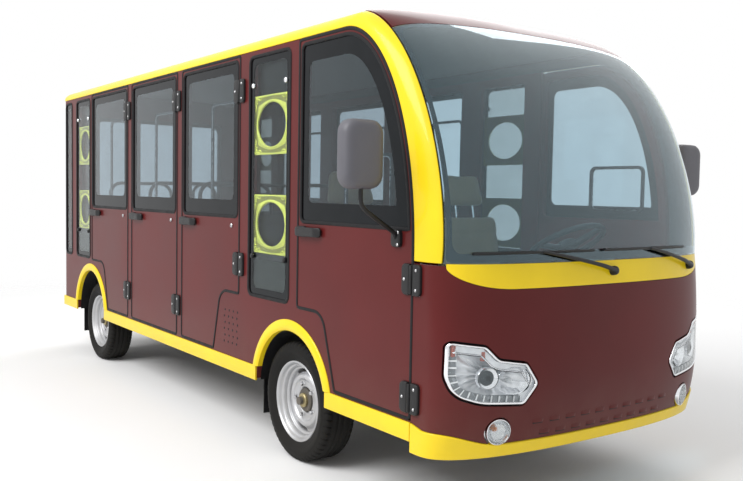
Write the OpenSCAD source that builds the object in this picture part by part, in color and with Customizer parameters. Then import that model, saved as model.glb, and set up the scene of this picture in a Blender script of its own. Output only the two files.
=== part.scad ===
// Electric sightseeing shuttle bus: four doors on the boarding side, a driver door on the other.
// Millimetres. +X forward, +Y the vehicle's left, +Z up, origin on the ground at mid length.

/* [Main sizes] */
// distance between the two axles
wheelbase = 2730; // [2500:5:2950]
// foremost point of the front, ahead of the front axle
front_overhang = 1160; // [1050:5:1250]
// rear end, behind the rear axle
rear_overhang = 710; // [680:5:820]
// half of the width over the side panels
half_width = 760; // [700:1:840]
// height of the roof crown
roof_height = 1965; // [1800:5:2200]
// height of the cant rail and roof crown over the side panels
cant_height = 100; // [85:1:120]

/* [Lower body] */
// top of the cabin floor over the middle of the wheels
floor_rise = 152; // [135:1:180]
// height of the yellow sill band
sill_band = 70; // [50:1:85]
// how far the front lip hangs below the sill band
lip_drop = 40; // [20:1:60]
// room between the tyres and the wheel openings
arch_gap = 37; // [30:1:45]
// width of the trim round a wheel opening
arch_trim = 47; // [35:1:55]
// how far the trim stands out from the side
trim_depth = 6; // [3:0.5:10]
// how far the rear wheel opening sits behind the rear axle
arch_shift = 80; // [0:1:90]

/* [Doors] */
// thickness of a door
door_thick = 34; // [28:1:40]
// gap between a door and its opening
door_gap = 8; // [6:0.5:10]
// lower edge of the door windows over the floor
window_rise = 663; // [600:1:720]
// width of the frame round a door window
window_frame = 22; // [18:1:28]
// share of the passenger doors' run that the second door takes
door_2_share = 0.326; // [0.3:0.001:0.36]
// share of the passenger doors' run that the third door takes
door_3_share = 0.336; // [0.3:0.001:0.36]
// width of the posts between the doors
post_width = 75; // [65:1:90]

/* [Windscreen] */
// lower edge of the windscreen over the floor
screen_rise = 547; // [500:1:600]
// how far the windscreen base stands behind the foremost point
screen_setback = 23; // [12:1:35]
// length of the curve from the windscreen base back to the roof
screen_sweep = 669; // [620:1:720]
// thickness of the panes
glass_thick = 6; // [4:0.5:8]
// thickness of the outer panels at the front and the roof
skin_thick = 18; // [12:1:22]

/* [Wheels] */
// radius of the tyres
tyre_radius = 268; // [240:1:300]
// width of the tyres
tyre_width = 165; // [145:1:185]
// height of the tyre walls over the rims
tyre_wall = 90; // [78:1:100]
// distance from the side panels in to the tyre face
wheel_inset = 26; // [24:1:36]

/* [Chassis] */
// distance from the middle of the tyres in to the chassis rails
rail_gap = 251.5; // [245:0.5:265]
// height of the chassis rails
rail_height = 80; // [65:1:90]
// distance from the middle of the tyres in to the steering pins
pin_gap = 35.5; // [32:0.5:40]
// length of the battery pack
battery_length = 1300; // [1000:10:1500]
// radius of the hole in the tow plate
tow_radius = 13; // [10:0.5:16]
// thickness of the tow plate
tow_thick = 16; // [12:1:20]

/* [Seats] */
// underside of the cushions over the wheel boxes
seat_rise = 54; // [40:1:80]
// depth of the seat cushions
seat_depth = 400; // [350:1:430]
// thickness of the seat cushions
seat_thick = 110; // [85:1:130]
// height of the backs over the cushion underside
back_height = 450; // [380:1:520]
// lean of the backs
back_lean = 10; // [6:1:14]
// distance from the side panels in to the benches
bench_gap = 110; // [95:1:140]

/* [Hidden] */
$fn = 64;
body_length = wheelbase + front_overhang + rear_overhang;
front_axle_x = body_length/2 - front_overhang;
rear_axle_x = front_axle_x - wheelbase;
rear_x = -body_length/2;
hw = half_width;
wheel_z = tyre_radius;
wheel_mid = hw - wheel_inset - tyre_width/2;
rim_radius = tyre_radius - tyre_wall;
pin_place = wheel_mid - pin_gap;
rail_place = wheel_mid - rail_gap;

// heights
floor_height = tyre_radius + floor_rise;
sill_top = floor_height - 40;
sill_bottom = sill_top - sill_band;
lip_bottom = sill_bottom - lip_drop;
door_bottom = sill_top + 13;
window_bottom = floor_height + window_rise;
screen_base = floor_height + screen_rise;
side_height = roof_height - cant_height;
door_top = side_height - door_gap;

// wheel openings: place along the body and height of the middle
arch_radius = tyre_radius + arch_gap;
front_arch = [front_axle_x, tyre_radius + 20];
rear_arch = [rear_axle_x - arch_shift, tyre_radius + 52];
shoulder_height = rear_arch.y + arch_radius + arch_trim + 34;
box_top = rear_arch.y + arch_radius + 12;

// front end and X places of the doors, rear edge then front edge
bulge_x = body_length/2;
door_1_x1 = bulge_x - 291;
door_1_x0 = front_axle_x + 65;
door_2_x1 = front_axle_x - 500;
door_4_x0 = rear_axle_x - 50;
door_run = door_2_x1 - door_4_x0 - 2*post_width;
door_2_x0 = door_2_x1 - door_2_share*door_run;
door_3_x1 = door_2_x0 - post_width;
door_3_x0 = door_3_x1 - door_3_share*door_run;
door_4_x1 = door_3_x0 - post_width;
// lower corner and shoulder corner of the doors beside a wheel opening
door_1_foot = [front_axle_x + arch_radius + 67, front_axle_x + arch_radius - 34];
door_2_foot = [front_axle_x - arch_radius - 481, front_axle_x - arch_radius - 400];
door_4_foot = [rear_arch.x + arch_radius + 63, rear_arch.x + arch_radius - 24];
sheet_front = front_axle_x + arch_radius + 110;
// the quarter ellipse at the front of the front door
bend_x = door_1_x1 - 460;
bend_z = screen_base + 33;
bend_rx = door_1_x1 - bend_x;
bend_rz = door_top - bend_z;
flange_gap = 4;
flange_thick = 12;
frame_depth = door_thick + flange_gap;
inner_y = hw - frame_depth - flange_thick;
hinge_y = hw + 9;
sash_lip = 18;
rebate = 10;
// thickness of the side skin left outside a wheel, and gap between skins that meet
arch_skin = 18;
seam = 2;

// fixed windows, rear edge then front edge
pane_b = [front_axle_x - 395, front_axle_x - 18];
pane_r = [rear_x + 305, door_4_x0 - 45];
pane_n = [rear_x + 40, rear_x + 190];
low_pane = shoulder_height + 10;
pane_top = side_height - 30;
pane_tall = pane_top - low_pane;

// front shape: superellipse plan over a curved profile
plan_power = 2.5;
plan_fall = 200;
roof_fall = 57;
roof_half = hw - 34;
rise_power = 1.731;
glass_edge = 0.967;
glass_top = 68.8;
bulge_z = floor_height + 140;
lip_x = bulge_x - 45;
base_x = bulge_x - screen_setback;

function flat(l) = [for (r = l) for (p = r) p];
function unit(v) = v/norm(v);
function mix(a, b, s) = a + (b - a)*s;
function arc(c, r, a0, a1, n) = [for (k = [0:n]) c + r*[cos(mix(a0, a1, k/n)), sin(mix(a0, a1, k/n))]];

// one rounded corner of an outline: the arc that touches both edges
function corner(p, q, r, rad, n) = let(
        a = unit(p - q), b = unit(r - q),
        h = acos(max(-1, min(1, a*b)))/2,
        c = q + unit(a + b)*rad/sin(h),
        t0 = q + a*rad/tan(h), t1 = q + b*rad/tan(h),
        a0 = atan2(t0.y - c.y, t0.x - c.x),
        d = atan2(t1.y - c.y, t1.x - c.x) - a0,
        s = d > 180 ? d - 360 : d < -180 ? d + 360 : d)
    arc(c, rad, a0, a0 + s, n);
function xz(v) = [v[0], v[1]];
// outline from points with a radius each
function rounded(v, n = 6) = let(m = len(v)) flat([for (i = [0:m - 1])
    v[i][2] > 0 ? corner(xz(v[(i + m - 1) % m]), xz(v[i]), xz(v[(i + 1) % m]), v[i][2], n) : [xz(v[i])]]);

function fall(t) = 1 - pow(1 - min(1, pow(abs(t), plan_power)), 1/plan_power);
// windscreen and front of the roof: a is the angle along the sweep, t goes across
function screen(a, t) = let(s = a/90,
        x0 = base_x - screen_sweep + screen_sweep*pow(cos(a), 2/rise_power),
        z0 = screen_base + (roof_height - screen_base)*pow(sin(a), 2/rise_power),
        d = mix(plan_fall, roof_fall, s)*fall(t))
    [x0 - d*cos(a), t*mix(hw, roof_half, s), z0 - d*sin(a)];
// front below the windscreen
function face_x(z) = z > bulge_z
    ? bulge_x - (bulge_x - base_x)*pow((z - bulge_z)/(screen_base - bulge_z), 2)
    : bulge_x - (bulge_x - lip_x)*pow((bulge_z - z)/(bulge_z - lip_bottom), 2);
function face(z, t) = abs(t) <= 1 ? [face_x(z) - plan_fall*fall(t), t*hw, z]
    : [mix(face_x(z) - plan_fall, door_1_x1 + door_gap, abs(t) - 1), sign(t)*hw, z];
// top of the yellow lip: level in the middle, rising round the corner and on to the sill band
function lip_top(t) = let(s = max(0, min(1, (abs(t) - 0.7)/0.3)))
    sill_top - 62 + 47*s*s*(3 - 2*s) + 14*max(0, abs(t) - 1);
function scuttle_low(t) = let(s = max(0, min(1, (abs(t) - 0.632)/0.329)))
    screen_base - 90 + 84*(1 - sqrt(1 - s*s));

// a grid of points moved inwards by d
function inward(g, d) = let(m = len(g), n = len(g[0])) [for (a = [0:m - 1]) [for (b = [0:n - 1])
    g[a][b] - d*unit(cross(g[min(a + 1, m - 1)][b] - g[max(a - 1, 0)][b],
        g[a][min(b + 1, n - 1)] - g[a][max(b - 1, 0)]))]];
// solid between two grids
module shell(o, i) {
    m = len(o);
    n = len(o[0]);
    k = m*n;
    polyhedron(points = concat(flat(o), flat(i)), faces = concat(
        [for (a = [0:m - 2]) for (b = [0:n - 2]) [a*n + b, a*n + b + 1, a*n + n + b + 1]],
        [for (a = [0:m - 2]) for (b = [0:n - 2]) [a*n + b, a*n + n + b + 1, a*n + n + b]],
        [for (a = [0:m - 2]) for (b = [0:n - 2]) [k + a*n + b, k + a*n + n + b + 1, k + a*n + b + 1]],
        [for (a = [0:m - 2]) for (b = [0:n - 2]) [k + a*n + b, k + a*n + n + b, k + a*n + n + b + 1]],
        [for (b = [0:n - 2]) for (f = [[b, k + b, k + b + 1], [b, k + b + 1, b + 1]]) f],
        let(q = k - n) [for (b = [0:n - 2])
            for (f = [[q + b, q + b + 1, k + q + b + 1], [q + b, k + q + b + 1, k + q + b]]) f],
        [for (a = [0:m - 2]) let(p = a*n, q = a*n + n) for (f = [[p, q, k + q], [p, k + q, k + p]]) f],
        [for (a = [0:m - 2]) let(p = a*n + n - 1, q = a*n + 2*n - 1)
            for (f = [[p, k + p, k + q], [p, k + q, q]]) f]));
}
function across(n, e) = [for (k = [-n:n]) -e*sin(90*k/n)];
function front_columns(n) = concat([2], across(n, 1), [-2]);

// a plate on the right side, from an outline in X and Z, between two distances from the middle
module plate(y0, y1) {
    translate([0, -y0, 0]) rotate([90, 0, 0]) linear_extrude(y1 - y0) children();
}
module both() {
    children();
    mirror([0, 1, 0]) children();
}
module rod(p, q, r) {
    v = q - p;
    translate(p) rotate([0, acos(v.z/norm(v)), atan2(v.y, v.x)]) cylinder(h = norm(v), r = r);
}
module block(x0, x1, y0, y1, z0, z1) {
    translate([x0, y0, z0]) cube([x1 - x0, y1 - y0, z1 - z0]);
}

// door outlines, g wider all round
slant = 1.05;
function bend_points(d) = [for (k = [1:13])
    [bend_x + (bend_rx + d)*cos(k*90/14), bend_z + (bend_rz + d)*sin(k*90/14), 0]];
function outline_1(g) = rounded(concat(
    [[door_1_foot[0] - slant*g, door_bottom - g, 15], [door_1_x1 + g, door_bottom - g, 15],
        [door_1_x1 + g, bend_z, 0]],
    bend_points(g),
    [[bend_x, door_top + g, 0], [door_1_x0 - g, door_top + g, 15], [door_1_x0 - g, shoulder_height - g, 12],
        [door_1_foot[1] - slant*g, shoulder_height - g, 90 - g]]));
function outline_2(g) = rounded([[door_2_x0 - g, door_bottom - g, 15],
    [door_2_foot[0] + slant*g, door_bottom - g, 15], [door_2_foot[1] + slant*g, shoulder_height - g, 90 - g],
    [door_2_x1 + g, shoulder_height - g, 12], [door_2_x1 + g, door_top + g, 15], [door_2_x0 - g, door_top + g, 15]]);
function outline_3(g) = rounded([[door_3_x0 - g, door_bottom - g, 15], [door_3_x1 + g, door_bottom - g, 15],
    [door_3_x1 + g, door_top + g, 15], [door_3_x0 - g, door_top + g, 15]]);
function outline_4(g) = rounded([[door_4_foot[0] - slant*g, door_bottom - g, 15],
    [door_4_x1 + g, door_bottom - g, 15], [door_4_x1 + g, door_top + g, 15], [door_4_x0 - g, door_top + g, 15],
    [door_4_x0 - g, shoulder_height - g, 12], [door_4_foot[1] - slant*g, shoulder_height - g, 90 - g]]);
// windows, g wider all round
function window(x0, x1, z0, z1, g) = rounded([[x0 - g, z0 - g, 25], [x1 + g, z0 - g, 25],
    [x1 + g, z1 + g, 25], [x0 - g, z1 + g, 25]]);
function door_window(x0, x1, g) = window(x0 + window_frame, x1 - window_frame, window_bottom,
    door_top - window_frame, g);
function window_1(g) = let(f = window_frame - g, h = window_bottom - g,
        a0 = asin((h - bend_z)/(bend_rz - f)))
    rounded(concat([[door_1_x0 + f, h, 25]],
        [for (k = [0:12]) let(a = mix(a0, 90, k/12))
            [bend_x + (bend_rx - f)*cos(a), bend_z + (bend_rz - f)*sin(a), 0]],
        [[door_1_x0 + f, door_top - f, 25]]));

module pane(y, v) {
    plate(y - glass_thick, y) polygon(v);
}
pane_y = hw - rebate + glass_thick;

module door_slab(outer, wide, narrow) {
    difference() {
        plate(hw - door_thick, hw) polygon(outer);
        plate(hw - rebate, hw + 1) polygon(wide);
        plate(hw - door_thick - 1, hw - rebate + 1) polygon(narrow);
    }
}

// hinge leaf and pin on the body; the barrel stands on the line of the door's front edge
module hinge_body(x, z) {
    difference() {
        block(x + 1, x + 38, -hw - 4.3, -hw - 0.3, z - 45, z + 45);
        block(x, x + 9.5, -hw - 6, -hw, z - 16.2, z + 16.2);
    }
    for (d = [-45, 16.2]) translate([x, -hinge_y, z + d]) cylinder(r = 8, h = 28.8);
    translate([x, -hinge_y, z - 45]) cylinder(r = 4, h = 90);
}
module hinge_door(x, z) {
    block(x - 38, x - 9.5, -hw - 4.3, -hw - 0.3, z - 45, z + 45);
    difference() {
        union() {
            translate([x, -hinge_y, z - 15.5]) cylinder(r = 8, h = 31);
            block(x - 10, x, -hw - 4.3, -hw - 1.5, z - 15.5, z + 15.5);
        }
        translate([x, -hinge_y, z - 20]) cylinder(r = 4.3, h = 40);
    }
}
// a rounded plate on the right side between two X places and two heights
module slab(y0, y1, x0, x1, z0, z1, r) {
    plate(y0, y1) polygon(rounded([[x0, z0, r], [x1, z0, r], [x1, z1, r], [x0, z1, r]]));
}
module handle(x) {
    z = window_bottom - 44;
    slab(hw + 0.3, hw + 6, x + 12, x + 200, z - 24, z + 24, 18);
    slab(hw + 5, hw + 24, x + 18, x + 60, z - 13, z + 13, 10);
    slab(hw + 5, hw + 24, x + 160, x + 194, z - 13, z + 13, 10);
    slab(hw + 18, hw + 30, x + 18, x + 194, z - 13, z + 13, 12);
}
module lock(x) {
    translate([x, -hw - 0.3, window_bottom - 115]) rotate([90, 0, 0]) cylinder(r = 13, h = 6);
}
hinge_1_z = [door_bottom + 77, window_bottom - 183];
hinge_2_z = [shoulder_height + 144, door_top - 167];
hinge_3_z = [door_bottom + 167, door_top - 157];
function hinge_x(x1) = x1 + door_gap/2;

module hinge_mounts() color("#1b1b1c") {
    both() for (z = hinge_1_z) hinge_body(hinge_x(door_1_x1), z);
    for (z = hinge_2_z) hinge_body(hinge_x(door_2_x1), z);
    for (z = hinge_3_z) hinge_body(hinge_x(door_3_x1), z);
    for (z = hinge_3_z) hinge_body(hinge_x(door_4_x1), z);
}
module hardware(x0, x1, zs) {
    for (z = zs) hinge_door(hinge_x(x1), z);
    handle(x0);
    lock(x1 - 70);
}
module door_1_panel() color("#6e2234") door_slab(outline_1(0), window_1(0), window_1(-sash_lip));
module door_1_glass() color("#23272b") pane(pane_y, window_1(-1.5));
module door_1_hardware() color("#1b1b1c") hardware(door_1_x0, door_1_x1, hinge_1_z);
module door_2_panel() color("#6e2234")
    door_slab(outline_2(0), door_window(door_2_x0, door_2_x1, 0), door_window(door_2_x0, door_2_x1, -sash_lip));
module door_2_glass() color("#23272b") pane(pane_y, door_window(door_2_x0, door_2_x1, -1.5));
module door_2_hardware() color("#1b1b1c") hardware(door_2_x0, door_2_x1, hinge_2_z);
module door_3_panel() color("#6e2234")
    door_slab(outline_3(0), door_window(door_3_x0, door_3_x1, 0), door_window(door_3_x0, door_3_x1, -sash_lip));
module door_3_glass() color("#23272b") pane(pane_y, door_window(door_3_x0, door_3_x1, -1.5));
module door_3_hardware() color("#1b1b1c") hardware(door_3_x0, door_3_x1, hinge_3_z);
module door_4_panel() color("#6e2234")
    door_slab(outline_4(0), door_window(door_4_x0, door_4_x1, 0), door_window(door_4_x0, door_4_x1, -sash_lip));
module door_4_glass() color("#23272b") pane(pane_y, door_window(door_4_x0, door_4_x1, -1.5));
module door_4_hardware() color("#1b1b1c") hardware(door_4_x0, door_4_x1, hinge_3_z);
module driver_door_panel() mirror([0, 1, 0]) door_1_panel();
module driver_door_glass() mirror([0, 1, 0]) door_1_glass();
module driver_door_hardware() mirror([0, 1, 0]) door_1_hardware();

// side frames
module side_sheet() {
    polygon([[rear_x + 30.5, sill_bottom + 10], [door_1_x1 + door_gap - 0.5, sill_bottom + 10],
        [door_1_x1 + door_gap - 0.5, door_bottom - door_gap], [sheet_front, door_bottom - door_gap],
        [sheet_front, side_height - 0.5], [rear_x + 30.5, side_height - 0.5]]);
}
// wheel openings: round above, with straight sides below
module arch_holes(r) {
    for (c = [front_arch, rear_arch]) translate(c) {
        circle(r = r);
        translate([-r, -c.y]) square([2*r, c.y]);
    }
}
// room for the wheels behind the outer skin
module wheel_room() {
    for (x = [front_axle_x, rear_axle_x]) translate([x, wheel_z]) circle(r = tyre_radius + 22);
}
module front_cut(g) {
    polygon(outline_1(g));
    polygon([[sheet_front - 36, door_bottom - g], [door_1_x1 + 60, door_bottom - g],
        [door_1_x1 + 60, side_height + 20],
        [door_1_x0 - g, side_height + 20], [door_1_x0 - g, door_top - 60], [sheet_front - 36, door_top - 60]]);
}
module side_panes(g) {
    polygon(window(pane_b[0], pane_b[1], low_pane, pane_top, g));
    polygon(window(pane_r[0], pane_r[1], low_pane, pane_top, g));
    polygon(window(pane_n[0], pane_n[1], low_pane, pane_top, g));
}
module passenger_panes(g) {
    polygon(door_window(door_2_x0, door_2_x1, g));
    polygon(door_window(door_3_x0, door_3_x1, g));
    polygon(door_window(door_4_x0, door_4_x1, g));
}
module door_holes(g) {
    polygon(outline_2(g));
    polygon(outline_3(g));
    polygon(outline_4(g));
}
// vent holes in the panel in front of the second door: four columns of six, every second row shifted
vent_pitch = [46, 32];
module vents() {
    for (c = [0:3], r = [0:5]) translate([front_axle_x - 655 + c*vent_pitch[0] + 8*(r % 2),
        floor_height + 28 + r*vent_pitch[1]]) circle(r = 5.5, $fn = 12);
}
module side_frame_right() color("#6e2234") {
    difference() {
        plate(hw - frame_depth, hw) side_sheet();
        plate(hw - 8, hw + 1) vents();
        plate(hw - frame_depth - 1, hw + 1) {
            arch_holes(arch_radius);
            front_cut(door_gap);
            door_holes(door_gap);
        }
        plate(hw - rebate, hw + 1) side_panes(0);
        plate(hw - frame_depth - 1, hw - rebate + 1) side_panes(-sash_lip);
        plate(hw - frame_depth - 1, hw - arch_skin) wheel_room();
    }
    difference() {
        plate(inner_y, hw - frame_depth) side_sheet();
        plate(inner_y - 1, hw - frame_depth + 1) {
            arch_holes(arch_radius);
            wheel_room();
            front_cut(-sash_lip);
            door_holes(-sash_lip);
            side_panes(-sash_lip);
        }
    }
}
module side_frame_left() color("#6e2234") mirror([0, 1, 0]) {
    difference() {
        plate(hw - frame_depth, hw) side_sheet();
        plate(hw - frame_depth - 1, hw + 1) {
            arch_holes(arch_radius);
            front_cut(door_gap);
        }
        plate(hw - rebate, hw + 1) {
            side_panes(0);
            passenger_panes(0);
        }
        plate(hw - frame_depth - 1, hw - rebate + 1) {
            side_panes(-sash_lip);
            passenger_panes(-sash_lip);
        }
        plate(hw - frame_depth - 1, hw - arch_skin) wheel_room();
    }
    difference() {
        plate(inner_y, hw - frame_depth) side_sheet();
        plate(inner_y - 1, hw - frame_depth + 1) {
            arch_holes(arch_radius);
            wheel_room();
            front_cut(-sash_lip);
            side_panes(-sash_lip);
            passenger_panes(-sash_lip);
        }
    }
}
rear_pane = [0.737*hw, window_bottom - 3, door_top - 77];
module fixed_glass() color("#23272b") {
    both() {
        pane(pane_y, window(pane_b[0], pane_b[1], low_pane, pane_top, -1.5));
        pane(pane_y, window(pane_r[0], pane_r[1], low_pane, pane_top, -1.5));
        pane(pane_y, window(pane_n[0], pane_n[1], low_pane, pane_top, -1.5));
    }
    mirror([0, 1, 0]) {
        pane(pane_y, door_window(door_2_x0, door_2_x1, -1.5));
        pane(pane_y, door_window(door_3_x0, door_3_x1, -1.5));
        pane(pane_y, door_window(door_4_x0, door_4_x1, -1.5));
    }
    translate([rear_x + 15.7 - glass_thick, 0, 0]) rotate([90, 0, 90]) linear_extrude(glass_thick)
        polygon(window(-rear_pane[0], rear_pane[0], rear_pane[1], rear_pane[2], -1.5));
}

// ornament plates behind the fixed panes
function oval(x, z, rx, rz, n = 28) = [for (k = [0:n - 1]) [x + rx*cos(k*360/n), z + rz*sin(k*360/n)]];
module ornament(v, z) {
    x = (v[0] + v[1])/2;
    w = (v[1] - v[0])/2 - sash_lip - 3;
    h = 0.123*pane_tall;
    plate(pane_y - glass_thick - 8.3, pane_y - glass_thick - 0.3) difference() {
        polygon(rounded([[x - w, z - h, 20], [x + w, z - h, 20], [x + w, z + h, 20], [x - w, z + h, 20]]));
        polygon(oval(x, z, 0.79*w, 0.67*h));
    }
}
module decor_panels() color("#c8cf4a") both() for (k = [0.303, 0.715]) {
    ornament(pane_b, low_pane + k*pane_tall);
    ornament(pane_r, low_pane + k*pane_tall);
}

// roof and front skins
roof_angles = [glass_top + 0.35, 72, 76, 80, 84, 87, 90];
module roof_panel() color("#64202f") {
    t = across(9, 0.962);
    o = concat([for (a = roof_angles) [for (k = t) screen(a, k)]],
        [[for (k = t) let(p = screen(90, k)) [rear_x, p.y, p.z]]]);
    shell(o, inward(o, skin_thick));
}
module windscreen() color("#2a3034") {
    t = across(9, glass_edge);
    o = [for (k = [0:14]) [for (j = t) screen(0.04 + k*(glass_top - 0.04)/14, j)]];
    shell(o, inward(o, glass_thick));
}
// pillar beside the windscreen, on into the cant rail along the roof edge
pillar_edge = 0.972;
function edge_slope(a) = (screen(a, pillar_edge) - screen(a, pillar_edge - 0.004))/0.004;
function bezier(p, q, r, u) = p*(1 - u)*(1 - u) + q*2*u*(1 - u) + r*u*u;
function pillar_row(a) = let(p = screen(a, pillar_edge), d = edge_slope(a),
        q = p + d*(hw - p.y)/d.y,
        r = [bend_x + (bend_rx + door_gap)*cos(a), hw, bend_z + (bend_rz + door_gap + 1.1*seam)*sin(a)],
        e = a == 0 ? [r.x, hw, screen_base] : r)
    [for (k = [0:6]) bezier(p, q, e, k/6)];
module pillar_hoop() color("#c9a52c") both() mirror([0, 1, 0]) {
    rows = [for (k = [0:15]) pillar_row(k*6)];
    o = concat(rows, [[for (p = rows[15]) [rear_x, p.y, p.z]]]);
    g = [for (r = o) [for (k = [6:-1:0]) r[k]]];
    shell(g, inward(g, skin_thick));
}
// the cowl, the scuttle panel and the lip share these columns
front_cells = 11;
scuttle_half = 0.96;
function cowl_top(t) = abs(t) < scuttle_half ? scuttle_low(t) - seam : screen_base - seam;
function cowl_grid(rows) = [for (k = [0:rows]) [for (t = front_columns(front_cells))
    face(mix(lip_top(t) + seam, cowl_top(t), k/rows), t)]];
// headlamp outline: share of the half width, height over the floor, corner radius
lamp_outline = [[0.975, 279, 22], [0.838, 264, 30], [0.697, 220, 30], [0.557, 189, 30], [0.49, 101, 25],
    [0.567, 40, 40], [0.79, 40, 120], [0.976, 85, 95]];
lamp_middle = [-0.737*hw, floor_height + 160];
function swelled(g) = [for (v = lamp_outline) let(p = [-v[0]*hw, floor_height + v[1]], d = unit(p - lamp_middle))
    [p.x + g*d.x, p.y + g*d.y, v[2]]];
module lamp_prism(g) {
    translate([bulge_x - 330, 0, 0]) rotate([90, 0, 90]) linear_extrude(340) polygon(rounded(swelled(g), 3));
}
fog_y = 0.712*hw;
fog_z = sill_top - 12;
module fog_hole(r) {
    both() translate([bulge_x - 200, -fog_y, fog_z]) rotate([0, 90, 0]) cylinder(r = r, h = 220);
}
// two rows of louvre slots between the fog lamps, pressed 8 mm into the skin
louvre_pitch = 82;
louvre_size = [46, 6];
module louvre(y, z) {
    p = face(z, y/hw);
    block(p.x - 8, p.x + 10, y - louvre_size[0]/2, y + louvre_size[0]/2, z - louvre_size[1]/2, z + louvre_size[1]/2);
}
module louvres() {
    for (k = [-4.5:4.5]) louvre(k*louvre_pitch, tyre_radius + 115);
    for (k = [-4:4]) louvre(k*louvre_pitch, tyre_radius + 68);
}
module front_cowl() color("#64202f") difference() {
    o = cowl_grid(8);
    shell(o, inward(o, skin_thick));
    both() lamp_prism(0);
    fog_hole(49);
    louvres();
}
module scuttle_panel() color("#c9a52c") {
    o = [for (k = [0:3]) [for (t = across(front_cells, 1)) if (abs(t) < scuttle_half)
        face(mix(scuttle_low(t), screen_base - 0.3*seam, k/3), t)]];
    shell(o, inward(o, 0.5*skin_thick));
}
module front_bumper() color("#c9a52c") difference() {
    o = [for (k = [0:3]) [for (t = front_columns(front_cells)) face(mix(lip_bottom, lip_top(t), k/3), t)]];
    shell(inward(o, -trim_depth), inward(o, skin_thick));
    fog_hole(49);
}
function lamp_grid() = [for (k = [0:6]) [for (t = [0.42, 0.5, 0.58, 0.66, 0.74, 0.81, 0.87, 0.92, 0.955, 0.98, 0.995])
    face(floor_height + mix(10, 310, k/6), -t)]];
module headlamp_lenses() color("#b9c4c9") both() intersection() {
    o = lamp_grid();
    shell(inward(o, 0.5), inward(o, 4.5));
    lamp_prism(-1.5);
}
module headlamp_housings() color("#3b3f43") both() difference() {
    o = lamp_grid();
    intersection() {
        shell(inward(o, 5), inward(o, 70));
        lamp_prism(-1.5);
    }
    intersection() {
        shell(inward(o, 4), inward(o, 58));
        lamp_prism(-14);
    }
}
module fog_lamps() color("#b9c4c9") both() {
    p = face(fog_z, -fog_y/hw);
    translate([p.x - 45, -fog_y, fog_z]) rotate([0, 90, 0]) cylinder(r = 48.4, h = 34);
}

// yellow band along the sills, round the wheel openings and over the rear
module band() {
    difference() {
        union() {
            polygon([[rear_x + 4, sill_bottom], [door_1_x1 + door_gap - 1, sill_bottom],
                [door_1_x1 + door_gap - 1, sill_top], [rear_x + 4, sill_top]]);
            arch_holes(arch_radius + arch_trim);
        }
        arch_holes(arch_radius);
        translate([rear_x - 10, -200]) square([body_length + 20, sill_bottom + 200]);
    }
}
module sill_trim() color("#c9a52c") {
    both() plate(hw + 0.3, hw + trim_depth) band();
    block(rear_x, rear_x + 3.7, -hw - trim_depth, hw + trim_depth, sill_bottom, sill_top);
}

// rear wall
function wall_edge() = [for (k = [-8:8]) let(p = screen(90, 0.95*sin(90*k/8))) [p.y, p.z - skin_thick - 0.6*seam]];
module rear_wall() color("#6e2234") difference() {
    intersection() {
        translate([rear_x + 4, 0, 0]) rotate([90, 0, 90]) linear_extrude(26)
            polygon(concat([[hw - 22, side_height - 0.6], [hw, side_height - 0.6], [hw, sill_bottom + 10],
                [-hw, sill_bottom + 10], [-hw, side_height - 0.6], [-hw + 22, side_height - 0.6]], wall_edge()));
        linear_extrude(2*roof_height) polygon(rounded([[rear_x + 4, -hw, 24], [rear_x + 90, -hw, 0],
            [rear_x + 90, hw, 0], [rear_x + 4, hw, 24]]));
    }
    translate([rear_x, 0, 0]) rotate([90, 0, 90]) linear_extrude(16)
        polygon(window(-rear_pane[0], rear_pane[0], rear_pane[1], rear_pane[2], 0));
    translate([rear_x, 0, 0]) rotate([90, 0, 90]) linear_extrude(40)
        polygon(window(-rear_pane[0], rear_pane[0], rear_pane[1], rear_pane[2], -sash_lip));
    both() tail_place(rear_x, 12, 0);
}
// a tail lamp or the pocket for one
module tail_place(x, thick, g) {
    y = 0.855*hw;
    z = shoulder_height + 84;
    translate([x, 0, 0]) rotate([90, 0, 90]) linear_extrude(thick) polygon(rounded([[y - 50 + g, z - 150 + g, 25],
        [y + 50 - g, z - 150 + g, 25], [y + 50 - g, z + 150 - g, 25], [y - 50 + g, z + 150 - g, 25]]));
}
module tail_lamps() color("#9c1f22") both() tail_place(rear_x + 1, 10.7, 1);

// wipers on the lower edge of the windscreen
module wiper(t0, t1, base_t) {
    n = 10;
    o = [for (a = [3.2, 3.7]) [for (k = [0:n]) screen(a, mix(t1, t0, k/n))]];
    shell(inward(o, -16), inward(o, -0.5));
    p = face(screen_base - 40, base_t) + [11, 0, 0];
    e = screen(3.4, (t0 + t1)/2) + [18, 0, 0];
    rod(p, e, 6);
    translate(p - [7.5, 0, 0]) rotate([0, 90, 0]) cylinder(r = 12, h = 14);
}
module wipers() color("#1b1b1c") {
    wiper(-0.86, -0.14, 0.013);
    wiper(-0.06, 0.66, 0.737);
}

// chassis
rail_top = floor_height - 13;
rail_low = rail_top - rail_height;
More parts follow.
